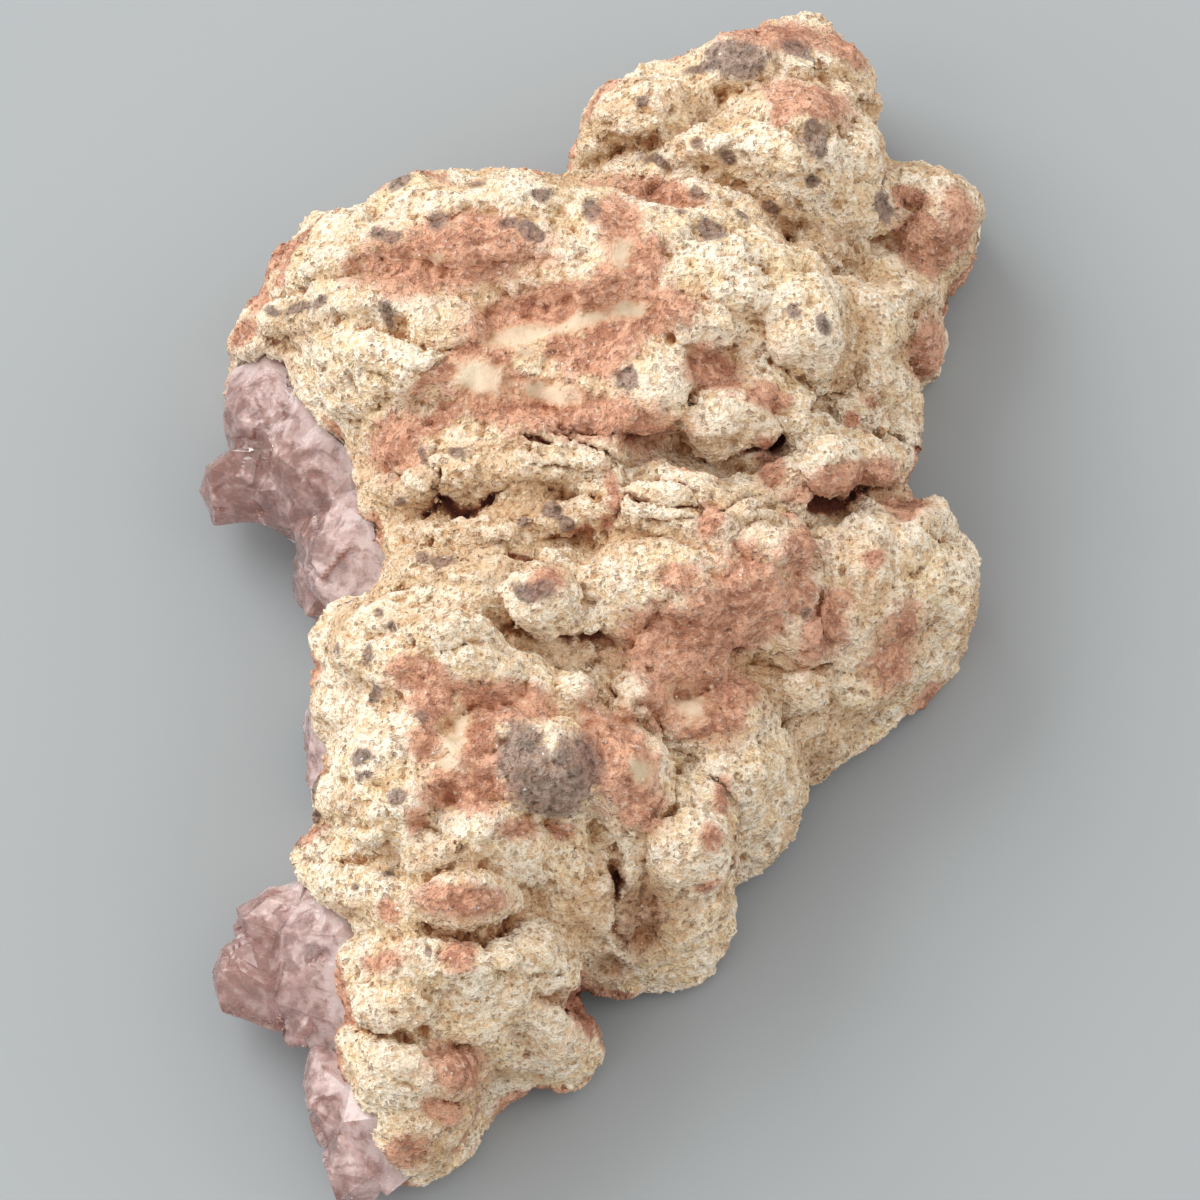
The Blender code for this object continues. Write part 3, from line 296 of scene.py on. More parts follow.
def shifted(tree, vector, offset):
    return node(tree, "ShaderNodeVectorMath", {0: vector, 1: offset}, operation="ADD").outputs[0]


def centred(tree, colour):  # a chance colour as a vector that swings about nought
    return shifted(tree, colour, (-0.5, -0.5, -0.5))


def warped(tree, place, size, reach):  # pushes places about, so that cells don't look like cells
    wander = noiseAt(tree, place, size, output="Color")
    return shifted(tree, place, scaled(tree, centred(tree, wander), 2 * reach))


def stored(tree, name):  # a value kept on the mesh, read back inside a geometry tree
    return node(tree, "GeometryNodeInputNamedAttribute", {"Name": name}, data_type="FLOAT").outputs[0]


def raised(tree, geometry, height):  # moves a surface out along its normal
    offset = scaled(tree, tree.nodes.new("GeometryNodeInputNormal").outputs[0], height)
    return node(tree, "GeometryNodeSetPosition", {"Geometry": geometry, "Offset": offset}).outputs[0]


def chance(tree, seed, seedStep, low, high, kind="FLOAT"):  # a random value for each point
    made = node(tree, "FunctionNodeRandomValue", data_type=kind)
    firstIn, firstOut = (0, 0) if kind == "FLOAT_VECTOR" else (2, 1)
    made.inputs[firstIn].default_value = low
    made.inputs[firstIn + 1].default_value = high
    tree.links.new(maths(tree, "ADD", seed, seedStep), made.inputs["Seed"])
    return made.outputs[firstOut]


def scatteredPoints(tree, given):  # seats for small pieces, evenly apart, where the mesh has its seats
    inputs = {
        "Mesh": given["Geometry"], "Distance Min": given["Apart"], "Density Max": given["Per Area"],
        "Density Factor": stored(tree, "seats"), "Seed": given["Seed"],
    }
    return node(tree, "GeometryNodeDistributePointsOnFaces", inputs, distribute_method="POISSON").outputs


def geometryTree(name, inputs):
    tree = bpy.data.node_groups.new(name, "GeometryNodeTree")
    tree.interface.new_socket("Geometry", in_out="INPUT", socket_type="NodeSocketGeometry")
    tree.interface.new_socket("Geometry", in_out="OUTPUT", socket_type="NodeSocketGeometry")
    for label, value in inputs.items():
        kind = "NodeSocketInt" if isinstance(value, int) else "NodeSocketFloat"
        socket = tree.interface.new_socket(label, in_out="INPUT", socket_type=kind)
        socket.default_value = value
    return tree, tree.nodes.new("NodeGroupInput").outputs


def finishTree(tree, geometry):
    tree.links.new(geometry, tree.nodes.new("NodeGroupOutput").inputs[0])
    return tree


def finishScatter(tree, instances, material):
    realized = node(tree, "GeometryNodeRealizeInstances", {"Geometry": instances}).outputs[0]
    inputs = {"Geometry": realized, "Material": material}
    return finishTree(tree, node(tree, "GeometryNodeSetMaterial", inputs).outputs[0])


def labelled(values, names):  # picks the values that a tree takes; pitDepth becomes Pit Depth there
    inputs = {}
    for name in names.split():
        spaced = "".join(" " + letter if letter.isupper() else letter for letter in name)
        inputs[spaced.title()] = values[name]
    return inputs


def addTree(piece, tree, values):  # the inputs are set before the tree is first worked out
    modifier = piece.modifiers.new(tree.name, "NODES")
    modifier.node_group = tree
    for item in tree.interface.items_tree:
        if item.name in values:
            modifier[item.identifier] = values[item.name]


def applied(piece):  # makes a piece's modifiers permanent
    graph = bpy.context.evaluated_depsgraph_get()
    mesh = bpy.data.meshes.new_from_object(piece.evaluated_get(graph))
    piece.modifiers.clear()
    piece.data = mesh


def linkedPiece(name, data):
    piece = bpy.data.objects.new(name, data)
    bpy.context.scene.collection.objects.link(piece)
    return piece


def mergedCopy(nodeName, pieceName):  # a CAD node's mesh in millimetres, its loose triangles joined
    mesh = bmesh.new()
    mesh.from_mesh(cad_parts[nodeName].data)
    bmesh.ops.scale(mesh, verts=mesh.verts, vec=(1 / toMetres,) * 3)
    bmesh.ops.remove_doubles(mesh, verts=mesh.verts, dist=0.0005)
    data = bpy.data.meshes.new(pieceName)
    mesh.to_mesh(data)
    mesh.free()
    return linkedPiece(pieceName, data)


def readMesh(mesh):
    points = np.empty(len(mesh.vertices) * 3)
    normals = np.empty(len(mesh.vertices) * 3)
    mesh.vertices.foreach_get("co", points)
    mesh.vertex_normals.foreach_get("vector", normals)
    return points.reshape(-1, 3), normals.reshape(-1, 3)


def writePoints(piece, points):
    piece.data.vertices.foreach_set("co", points.ravel())
    piece.data.update()


def store(piece, name, values):
    attribute = piece.data.attributes.get(name) or piece.data.attributes.new(name, "FLOAT", "POINT")
    attribute.data.foreach_set("value", values.astype(np.float32))


def storedValues(piece, name):
    values = np.empty(len(piece.data.vertices), dtype=np.float32)
    piece.data.attributes[name].data.foreach_get("value", values)
    return values


def smoothedMesh(piece, turns):  # the same mesh with its small relief ironed out
    smooth = piece.modifiers.new("Smooth", "SMOOTH")
    smooth.factor = 0.5
    smooth.iterations = turns
    graph = bpy.context.evaluated_depsgraph_get()
    points, normals = readMesh(piece.evaluated_get(graph).to_mesh())
    piece.modifiers.clear()
    return points, normals


def surfaceOf(piece):
    return BVHTree.FromObject(piece, bpy.context.evaluated_depsgraph_get())


near = {
    "covered": 1.6,  # a surface that faces the other piece this closely isn't seen
    "startInside": 0.1,
    "thickest": 9,  # rock thicker than this needs no care
    "insideBox": 0.01,
}


def hiddenParts(points, normals, other):  # 1 where a surface lies against the other piece
    tree = surfaceOf(other)
    rays = zip(points, normals)
    found = [tree.ray_cast(Vector(point), Vector(normal), near["covered"])[0] for point, normal in rays]
    return np.array([0.0 if hit is None else 1.0 for hit in found])


def roomInside(piece, points, normals, other):  # how far the other piece is, and how deep a cut may go
    own, tree = surfaceOf(piece), surfaceOf(other)
    beside = np.array([tree.find_nearest(Vector(point))[3] for point in points])
    most = near["thickest"]
    rays = zip(points - normals * near["startInside"], normals)
    through = [own.ray_cast(Vector(start), -Vector(normal), most)[3] for start, normal in rays]
    thick = np.array([most if far is None else far for far in through])
    return beside, np.minimum(beside, thick)


def keptInBox(piece):  # nothing of the visible model goes outside the CAD model's box
    points = readMesh(piece.data)[0]
    low = np.array(cadBox[0]) / toMetres + near["insideBox"]
    high = np.array(cadBox[1]) / toMetres - near["insideBox"]
    writePoints(piece, np.clip(points, low, high))


def triangleCount(piece):
    return sum(len(polygon.vertices) - 2 for polygon in piece.data.polygons)


def thinned(piece, most, groupName=""):
    fewer = piece.modifiers.new("Fewer", "DECIMATE")
    fewer.ratio = min(1, most / triangleCount(piece))
    fewer.vertex_group = groupName
    fewer.vertex_group_factor = 10
    applied(piece)


def thinnedHidden(piece, hidden, most):  # first where nobody sees it, then evenly, down to the most
    group = piece.vertex_groups.new(name="hidden")
    group.add(np.flatnonzero(hidden > 0.5).tolist(), 1.0, "REPLACE")
    thinned(piece, most, group.name)
    thinned(piece, most)


def ramp(values, low, high):  # 0 up to low, 1 from high on
    return np.clip((values - low) / (high - low), 0, 1)


def facePlaces(points):  # how far across and along the face the points lie
    across = points[:, 0] - face["middleX"]
    along = (points[:, 1] - face["middleY"]) * math.cos(face["lean"])
    return across, along + points[:, 2] * math.sin(face["lean"])


def faceTurned(vectors):  # the part of each vector that points straight out of the face
    return vectors[:, 2] * math.cos(face["lean"]) - vectors[:, 1] * math.sin(face["lean"])


def patchReach(across, along, patch):  # 0 in the middle of a patch, 1 at its edge
    midAcross, midAlong, halfAcross, halfAlong, turn = patch[:5]
    angle = math.radians(turn)
    offAcross, offAlong = across - midAcross, along - midAlong
    localX = offAcross * math.cos(angle) + offAlong * math.sin(angle)
    localY = offAlong * math.cos(angle) - offAcross * math.sin(angle)
    return np.hypot(localX / halfAcross, localY / halfAlong)


def patchField(across, along, patches, heights=0, seats=None):
    # highest in the middle of a patch and 0 at its edge; with seats, a patch stays on its own slope
    field = np.full(len(across), -1.0)
    for i, patch in enumerate(patches):
        reach = patchReach(across, along, patch)
        if seats:
            deep = 0.9 + 1.3 * max(patch[2:4])
            reach = np.hypot(reach, (heights - seats[i]) / deep)
        strength = patch[5]
        field = np.maximum(field, (1 - reach) * (0.6 + 0.4 * strength) + 0.25 * (strength - 1))
    return field


def patchSeats(points, patches, beside=0.4):  # how far out the face stands at the middle of each patch
    across, along = facePlaces(points)
    heights = faceTurned(points)
    seats = []
    for patch in patches:
        away = np.hypot(across - patch[0], along - patch[1])
        seats.append(heights[away < away.min() + beside].max())
    return seats


def pathDistance(across, along, path):
    nearest = np.full(len(across), np.inf)
    for (x0, y0), (x1, y1) in zip(path, path[1:]):
        spanX, spanY = x1 - x0, y1 - y0
        part = np.clip(((across - x0) * spanX + (along - y0) * spanY) / (spanX**2 + spanY**2), 0, 1)
        nearest = np.minimum(nearest, np.hypot(across - x0 - part * spanX, along - y0 - part * spanY))
    return nearest


def wandering(points, size, reach):  # a slow sideways drift that makes drawn lines uneven
    noise.seed_set(7)
    return reach * np.array([noise.noise_vector(Vector(point) / size) for point in points])


rock = {
    "voxel": 0.4,
    "smoothing": 5,
    "lumpSize": 4.4,
    "lumpHeight": 0.6,
    "noduleSize": 1.8,
    "noduleHeight": 0.5,
    "crumbSize": 0.9,
    "crumbHeight": 0.27,
    "pitDepth": 0.45,
    "knobHeight": 1.75,
    "knobBase": 0.72,
    "crackWidth": 0.65,
    "crackDepth": 0.75,
    "ledgeDepth": 0.22,
    "caveDepth": 2.2,
    "leastRock": 1.7,
    "creaseRoom": (1, 3.5),  # creases between knobs deepen as the rock gets this thick
    "reliefRoom": (0.5, 2),
    "leastRelief": 0.15,
    # how dark the cracks and the joints of the ledges are painted: painted shade
    "crackDark": 0.9,
    "ledgeDark": 0.35,
    "lineDrift": (1.6, 0.35),  # size and reach of the wandering of cracks and knobs
    "markDrift": (2.2, 0.5),
    "raggedEdge": 0.7,
    "raggedWidth": 1.4,
    "raggedSize": 1.5,
    "mostTriangles": 196000,
}
calmer = {  # marks where the rock is calmer: their edge's steepness and start, crumbs less, relief less
    "milk": (3, 0.6, 0.95, 0.85),
    "spot": (3, 0.3, 0.6, 0.5),
    "stain": (2, 0.2, 0.45, 0.35),
}


def roughRockTree(values):
    tree, given = geometryTree("Rough rock", values)
    crumble = stored(tree, "crumble")
    position = tree.nodes.new("GeometryNodeInputPosition").outputs[0]
    geometry = given["Geometry"]

    def level(geometry, name, size, reach):  # rounded knobs: high in the middle, low at the joints
        perMillimetre = maths(tree, "DIVIDE", 1.0, given[name + " Size"])
        cells = cellsAt(tree, warped(tree, position, size, reach), perMillimetre)["Distance"]
        dome = maths(tree, "SUBTRACT", 0.4, maths(tree, "POWER", cells, 1.6))
        rise = times(tree, dome, given[name + " Height"])
        return raised(tree, geometry, times(tree, rise, crumble))

    geometry = level(geometry, "Lump", 5.0, 1.4)
    geometry = level(geometry, "Nodule", 1.9, 0.6)
    geometry = level(geometry, "Crumb", 0.9, 0.3)
    holes = times(tree, between(tree, noiseAt(tree, position, 1.5, 1.0), 0.58, 0.7), crumble)
    depth = times(tree, holes, given["Pit Depth"])
    return finishTree(tree, raised(tree, geometry, times(tree, depth, -1.0)))


def knobHeights(across, along):  # domes that meet in creases
    height = np.zeros(len(across))
    for knob in knobs:
        rise = knob[5]
        dome = rise * np.sqrt(np.clip(1.25 - patchReach(across, along, knob) ** 2, 0, None))
        height = np.maximum(height, dome) if rise > 0 else height + dome
    return height * rock["knobHeight"] - rock["knobBase"]


waist = {  # the cracked band across the middle of the face, with its thin ledges
    "along": 8.5,
    "slope": 0.08,
    "halfAlong": 5,
    "halfAcross": 22,
    "fade": 8,
    "ledgeSlope": 0.1,
    "ledgeDrift": 1.5,
    "ledgesApart": 1.9,
}


def ledges(across, along, drift):  # where the waist is, and 0 on a ledge's middle to 1 where two meet
    offMiddle = (along - waist["along"] - waist["slope"] * across) / waist["halfAlong"]
    band = np.exp(-(offMiddle**2)) * np.clip((waist["halfAcross"] - np.abs(across)) / waist["fade"], 0, 1)
    rise = (along + waist["ledgeSlope"] * across + waist["ledgeDrift"] * drift) / waist["ledgesApart"]
    return band, np.abs(rise % 1 - 0.5) ** 3 * 8


def carveFace(points, normals, shown, room):  # knobs, cracks, caves and ledges
    drift = wandering(points, *rock["lineDrift"])
    across, along = facePlaces(points)
    across, along = across + drift[:, 0], along + drift[:, 1]
    onFace = np.clip(faceTurned(normals) * 2 + 0.4, 0, 1) * shown
    depth = np.zeros(len(points))
    for halfWidth, deepest, path in cracks:
        offLine = pathDistance(across, along, path) / (halfWidth * rock["crackWidth"])
        depth = np.maximum(depth, rock["crackDepth"] * deepest * np.exp(-(offLine**2)))
    band, ledge = ledges(across, along, drift[:, 2])
    # crack: how dark the cracks and ledge joints are painted, a painted shade that follows their depth
    crack = np.clip(depth * rock["crackDark"] + rock["ledgeDark"] * band * ledge**2, 0, 1) * onFace
    depth = depth + rock["ledgeDepth"] * band * (ledge - 0.3)
    turned = np.clip(faceTurned(normals) * 1.6, 0, 1) * shown
    knobbly = knobHeights(across, along) * turned
    knobbly = np.where(knobbly > 0, knobbly, knobbly * ramp(room, *rock["creaseRoom"]))
    cave = rock["caveDepth"] * np.clip(patchField(across, along, shadedPlaces), 0, 0.6) * shown
    cut = np.minimum(depth * onFace + cave - knobbly, np.maximum(room - rock["leastRock"], 0))
    return points - normals * cut[:, None], crack


sideMarks = {  # marks that turn up by chance on the sides and below: gain, and what it has to pass
    "stain": (3, 0.95),
    "spot": (4, 2.4),
    "milk": (1, 1.2),
    "tan": (3, 0),
}


def storeMarks(piece, base=None):  # how far inside each kind of mark every point of the rock lies
    points = readMesh(piece.data)[0]
    drift = wandering(points, *rock["markDrift"])
    across, along = facePlaces(points)
    across, along = across + drift[:, 0], along + drift[:, 1]
    if base is None:
        store(piece, "grain", np.full(len(points), 0.5))
        # recess and hollow: how far each point lies under a smoothed copy, at a small and a broad size;
        # the shader paints shade and highlight from them
        for name, turns in (("recess", 8), ("hollow", 90)):
            smoothPoints, smoothNormals = smoothedMesh(piece, turns)
            store(piece, name, np.einsum("ij,ij->i", smoothPoints - points, smoothNormals))
        store(piece, "away", np.clip((0.5 - faceTurned(smoothNormals)) * 3, 0, 1))
    else:
        copyRelief(piece, points, base)
    away = storedValues(piece, "away")
    large, small = wandering(points, 7.0, 1.0), wandering(points, 3.0, 1.0)
    luck = {"stain": large[:, 0], "spot": small[:, 0], "milk": large[:, 1], "tan": large[:, 2]}
    rockPoints = points if base is None else readMesh(base.data)[0]
    for name, patches in marks.items():
        gain, least = sideMarks[name]
        onFace = patchField(across, along, patches, faceTurned(points), patchSeats(rockPoints, patches))
        store(piece, name, np.maximum(onFace, gain * luck[name] - least + 1.5 * (away - 1)))
    store(piece, "shade", patchField(across, along, shadedPlaces))


def copyRelief(piece, points, base):  # crumbs take the relief values of the rock under them
    tree = surfaceOf(base)
    corners = np.empty(len(base.data.loops), dtype=int)
    base.data.loops.foreach_get("vertex_index", corners)
    starts = np.empty(len(base.data.polygons), dtype=int)
    base.data.polygons.foreach_get("loop_start", starts)
    nearest = [tree.find_nearest(Vector(point)) for point in points]
    under = corners[starts[[hit[2] for hit in nearest]]]
    height = np.array([(Vector(point) - hit[0]).dot(hit[1]) for point, hit in zip(points, nearest)])
    for name in ("recess", "hollow", "crack", "away"):
        store(piece, name, storedValues(base, name)[under])
    # crumbs that stand out count as less recessed, so they get a painted highlight
    store(piece, "recess", storedValues(piece, "recess") - crumbs["standProud"] * height)


def buildRock(crust):
    piece = mergedCopy("rind", "wallRock")
    skin = piece.modifiers.new("Skin", "REMESH")
    skin.mode = "VOXEL"
    skin.voxel_size = rock["voxel"]
    applied(piece)
    smooth = piece.modifiers.new("Smooth", "SMOOTH")
    smooth.iterations = rock["smoothing"]
    applied(piece)
    points, normals = readMesh(piece.data)
    hidden = hiddenParts(points, normals, crust)
    print("  rock skin", len(points), "hidden", int(hidden.sum()))
    beside, room = roomInside(piece, points, normals, crust)
    print("  thinnest rock", round(float(room[hidden < 0.5].min()), 2))
    carved, crack = carveFace(points, normals, 1 - hidden, room)
    ragged = rock["raggedEdge"] * np.exp(-((beside / rock["raggedWidth"]) ** 2)) * (1 - hidden)
    carved = carved + wandering(points, rock["raggedSize"], 1.0) * ragged[:, None]
    writePoints(piece, carved)
    store(piece, "crack", crack)
    across, along = facePlaces(points)
    seats = 1 - hidden
    crumble = (1 - hidden) * np.maximum(ramp(room, *rock["reliefRoom"]), rock["leastRelief"])
    for name, (steepness, start, fewer, lower) in calmer.items():
        inside = np.clip(patchField(across, along, marks[name]) * steepness + start, 0, 1)
        seats = seats * (1 - fewer * inside)
        crumble = crumble * (1 - lower * inside)
    store(piece, "seats", seats)
    store(piece, "crumble", crumble)
    relief = labelled(rock, "lumpSize lumpHeight noduleSize noduleHeight crumbSize crumbHeight pitDepth")
    addTree(piece, roughRockTree(relief), relief)
    applied(piece)
    thinnedHidden(piece, hidden, rock["mostTriangles"])
    print("  rock triangles", triangleCount(piece))
    keptInBox(piece)
    storeMarks(piece)
    return piece


crumbs = {
    "shapes": 6,
    "sunk": 0.35,
    "standProud": 0.4,  # how much a crumb's height above the rock counts as standing out, which the shader paints lighter as a painted highlight
    "pieces": (  # how far apart, how many to a square millimetre, smallest, largest, seed
        (1.1, 0.7, 0.24, 0.42, 4),
        (0.85, 1.2, 0.16, 0.32, 9),
        (0.85, 1.2, 0.16, 0.32, 15),
    ),
}


def crumbValues(apart, perArea, smallest, largest, seed):
    return {
        "Apart": apart, "Per Area": perArea, "Smallest": smallest, "Largest": largest,
        "Sunk": crumbs["sunk"], "Seed": seed,
    }


def crumbTree(material):
    tree, given = geometryTree("Crumbs", crumbValues(*crumbs["pieces"][0]))
    spread = scatteredPoints(tree, given)
    shapes = tree.nodes.new("GeometryNodeGeometryToInstance")
    for i in range(crumbs["shapes"]):
        ball = node(tree, "GeometryNodeMeshIcoSphere", {"Radius": 1.0, "Subdivisions": 1}).outputs[0]
        position = tree.nodes.new("GeometryNodeInputPosition").outputs[0]
        wander = noiseAt(tree, shifted(tree, position, (7 * i + 3, 5 * i, 11)), 0.7, output="Color")
        push = scaled(tree, centred(tree, wander), 1.2)
        shape = node(tree, "GeometryNodeSetPosition", {"Geometry": ball, "Offset": push}).outputs[0]
        tree.links.new(shape, shapes.inputs[0])

    seed = given["Seed"]
    small = maths(tree, "POWER", chance(tree, seed, 11, 0.0, 1.0), 1.6)
    size = between(tree, small, 0.0, 1.0, given["Smallest"], given["Largest"])
    sink = times(tree, times(tree, size, given["Sunk"]), -1.0)
    seats = node(tree, "GeometryNodeSetPosition", {
        "Geometry": spread["Points"], "Offset": scaled(tree, spread["Normal"], sink),
    })
    squash = chance(tree, seed, 12, (0.8, 0.8, 0.65), (1.25, 1.25, 1.0), "FLOAT_VECTOR")
    placed = node(tree, "GeometryNodeInstanceOnPoints", {
        "Points": seats.outputs[0], "Instance": shapes.outputs[0], "Pick Instance": True,
        "Rotation": chance(tree, seed, 13, (0, 0, 0), (6.3, 6.3, 6.3), "FLOAT_VECTOR"),
        "Scale": scaled(tree, squash, size),
    })
    toned = node(tree, "GeometryNodeStoreNamedAttribute", {
        "Geometry": placed.outputs[0], "Name": "grain", "Value": chance(tree, seed, 14, 0.0, 1.0),
    }, data_type="FLOAT", domain="INSTANCE")
    return finishScatter(tree, toned.outputs[0], material)


def buildCrumbs(base, tree, number, values):
    piece = linkedPiece("rockCrumbs%d" % number, base.data.copy())
    addTree(piece, tree, values)
    applied(piece)
    keptInBox(piece)
    storeMarks(piece, base)
    print("  crumbs", number, "triangles", triangleCount(piece))
    return piece


def tone(red, green, blue):  # a screen colour, 0 to 255, as the shader wants it
    def linear(value):
        value /= 255
        return value / 12.92 if value <= 0.04045 else ((value + 0.055) / 1.055) ** 2.4
    return (linear(red), linear(green), linear(blue), 1)


def blended(tree, factor, first, second, blend="MIX"):
    inputs = {0: factor, 6: first, 7: second}
    return node(tree, "ShaderNodeMix", inputs, data_type="RGBA", blend_type=blend).outputs[2]


def newFinish(name):
    material = bpy.data.materials.new(name)
    material.use_nodes = True
    tree = material.node_tree
    tree.nodes.clear()
    shader = tree.nodes.new("ShaderNodeBsdfPrincipled")
    output = tree.nodes.new("ShaderNodeOutputMaterial")
    tree.links.new(shader.outputs[0], output.inputs["Surface"])
    return material, tree, shader


def placeOn(tree):  # a place on the piece in millimetres, so that patterns keep their real size
    return scaled(tree, node(tree, "ShaderNodeTexCoord").outputs["Object"], 1 / toMetres)


def marked(tree, name):
    return node(tree, "ShaderNodeAttribute", attribute_name=name).outputs["Fac"]


rockTones = {
    "cream": tone(246, 225, 192),
    "pale": tone(252, 240, 220),
    "straw": tone(244, 222, 180),
    "tan": tone(216, 182, 142),
    "coral": tone(222, 168, 138),
    "deepCoral": tone(176, 119, 94),
    "rust": tone(210, 150, 112),
    "spot": tone(150, 122, 110),
    "spotDark": tone(102, 80, 74),
    "milk": tone(204, 184, 158),
    "milkGreen": tone(182, 168, 140),
    "glint": tone(250, 246, 244),
    "gapShade": tone(212, 172, 132),
    "pitShade": tone(178, 128, 92),
    "crackShade": tone(152, 100, 70),
}


def rockFinish():
    material, tree, shader = newFinish("crumbly wall rock")
    place = placeOn(tree)
    tones = rockTones
    broad = noiseAt(tree, place, 9, 2)
    patchy = noiseAt(tree, shifted(tree, place, (31, 7, 3)), 3.2, 3, 0.6)
    mottle = noiseAt(tree, shifted(tree, place, (3, 17, 9)), 1.1, 2, 0.5)
    fine = noiseAt(tree, shifted(tree, place, (9, 3, 27)), 0.45, 1, 0.5)
    recess, hollow, grain, crack = (marked(tree, name) for name in ("recess", "hollow", "grain", "crack"))

    def added(first, second, amount):  # adds a value that swings about a half
        swing = maths(tree, "SUBTRACT", second, 0.5)
        return maths(tree, "ADD", first, times(tree, swing, amount))

    def cells(size, offset):  # how far from the middle of a cell, and a chance value for each cell
        at = warped(tree, shifted(tree, place, offset), size, 0.22 * size)
        made = cellsAt(tree, at, 1 / size)
        return made["Distance"], node(tree, "ShaderNodeSeparateColor", {0: made["Color"]}).outputs[0]

    def tinted(base, value, low, high, most, name):  # lays a tone over the base as the value goes high
        return blended(tree, between(tree, value, low, high, 0, most), base, tones[name])

    def shaded(base, value, low, high, most, name):
        return darkened(base, between(tree, value, low, high, 0, most), name)

    def darkened(base, amount, name):
        return blended(tree, amount, base, tones[name], "MULTIPLY")

    clump = noiseAt(tree, warped(tree, shifted(tree, place, (0, 0, 40)), 1.2, 0.35), 0.62, 3, 0.6)
    grit = noiseAt(tree, warped(tree, shifted(tree, place, (0, 50, 0)), 0.5, 0.15), 0.3, 1, 0.5)
    pocket, pocketChance = cells(1.2, (5, 9, 2))
    speck, speckChance = cells(0.55, (1, 6, 3))
    base = tinted(tones["cream"], broad, 0.4, 0.62, 0.6, "straw")
    pale = added(added(added(patchy, clump, 0.6), mottle, 0.4), grain, 0.1)
    base = tinted(base, pale, 0.4, 0.6, 0.9, "pale")
    # tan rock, and painted shade on the right flank and in the cave
    tan = added(marked(tree, "tan"), patchy, 1.2)
    base = tinted(base, tan, -0.2, 0.5, 0.75, "tan")
    # painted shade: broad hollows tinted tan; painted highlight: small and broad rises tinted pale
    base = tinted(base, hollow, 0.0, 1.0, 0.85, "tan")
    base = tinted(base, recess, -0.03, -0.2, 0.5, "pale")
    base = tinted(base, hollow, -0.2, -1.1, 0.5, "pale")

    edge = added(added(added(0.0, patchy, 0.7), mottle, 1.0), clump, 0.8)

    def mask(name, start, full):
        return between(tree, maths(tree, "ADD", marked(tree, name), edge), start, full)

    deep = between(tree, added(mottle, patchy, 0.8), 0.4, 0.6)
    coral = blended(tree, deep, tones["deepCoral"], tones["coral"])
    coral = tinted(coral, clump, 0.56, 0.7, 0.4, "pale")
    base = blended(tree, times(tree, mask("stain", -0.6, 0.15), 0.35), base, tones["coral"])
    stained = mask("stain", -0.3, 0.22)
    base = blended(tree, times(tree, stained, 0.9), base, coral)
    milky = mask("milk", -0.6, 0.5)
    rim = maths(tree, "SUBTRACT", mask("milk", -0.8, -0.1), milky, clamp=True)
    base = blended(tree, times(tree, rim, 0.6), base, tones["rust"])
    milk = blended(tree, between(tree, patchy, 0.4, 0.62), tones["milk"], tones["milkGreen"])
    base = blended(tree, times(tree, milky, 0.88), base, milk)
    dark = between(tree, added(mottle, clump, 0.5), 0.4, 0.6)
    spot = blended(tree, dark, tones["spotDark"], tones["spot"])
    base = blended(tree, times(tree, mask("spot", -0.35, 0.2), 0.85), base, spot)

    even = maths(tree, "ADD", times(tree, milky, 0.85), times(tree, stained, 0.4), clamp=True)
    rough = maths(tree, "SUBTRACT", 1.0, even)
    gaps = between(tree, added(added(clump, grit, 0.5), patchy, 0.3), 0.53, 0.36, 0, 0.46)
    base = darkened(base, times(tree, gaps, rough), "gapShade")
    chosen = between(tree, added(pocketChance, patchy, 1.6), 0.5, 0.6)
    pits = times(tree, between(tree, added(pocket, fine, 0.8), 0.34, 0.14), chosen)
    few = between(tree, added(speckChance, broad, 1.4), 0.62, 0.7)
    specks = times(tree, between(tree, added(speck, fine, 0.6), 0.34, 0.16), few)
    pits = times(tree, maths(tree, "MAXIMUM", pits, specks), rough)
    base = darkened(base, times(tree, pits, 0.42), "pitShade")
    # painted shade in the creases and broad hollows
    base = shaded(base, recess, 0.0, 0.4, 0.85, "gapShade")
    base = shaded(base, recess, 0.2, 0.7, 0.9, "pitShade")
    base = shaded(base, hollow, 0.8, 2.4, 0.5, "pitShade")
    # painted shade in the deep places
    base = shaded(base, added(marked(tree, "shade"), clump, 1.0), -0.3, 0.5, 0.6, "pitShade")
    # painted shade in the cracks
    base = shaded(base, added(crack, fine, 0.5), 0.35, 0.9, 1.0, "crackShade")
    base = shaded(base, crack, 0.6, 1.0, 0.7, "crackShade")
    sparkle, sparkleChance = cells(0.8, (2, 2, 8))
    glint = times(tree, between(tree, sparkle, 0.18, 0.1), between(tree, sparkleChance, 0.88, 0.9))
    base = blended(tree, times(tree, glint, 0.75), base, tones["glint"])

    height = times(tree, pits, -0.8)
    height = added(added(added(height, clump, 2.4), mottle, 1.0), grit, 0.6)
    strength = maths(tree, "SUBTRACT", 1.0, times(tree, milky, 0.8))
    bump = node(tree, "ShaderNodeBump", {"Height": height, "Strength": strength, "Distance": 0.0004})
    roughness = maths(tree, "SUBTRACT", 0.92, times(tree, milky, 0.4))
    tree.links.new(base, shader.inputs["Base Color"])
    tree.links.new(roughness, shader.inputs["Roughness"])
    tree.links.new(bump.outputs[0], shader.inputs["Normal"])
    return material


amethyst = {
    "longestEdge": 0.75,
    "longestShown": 0.42,
    "shownLeftOf": -17,
    "shownAbove": 2,
    "edgeSlack": 1.3,
    "facetSizes": (7.0, 3.2, 1.4),
    "facetHeights": (0.55, 0.12, 0.03),
    "hollowRelief": 0.12,
    "sunkUnderRock": 0.9,
    "sinksOver": (1.2, 3.2),  # how far under the rock's edge it starts to sink, and is fully down
    "reliefBeside": (0.3, 1.8),  # how far from the rock the facets start, and stand at their full height
    "leastRelief": 0.1,
    "rimWidth": 3.0,
    "hollowCentre": (-2, -1, -1),
    "hollowHalf": (16.5, 27.5, 19.5),
    "hollowTurn": -13,
}


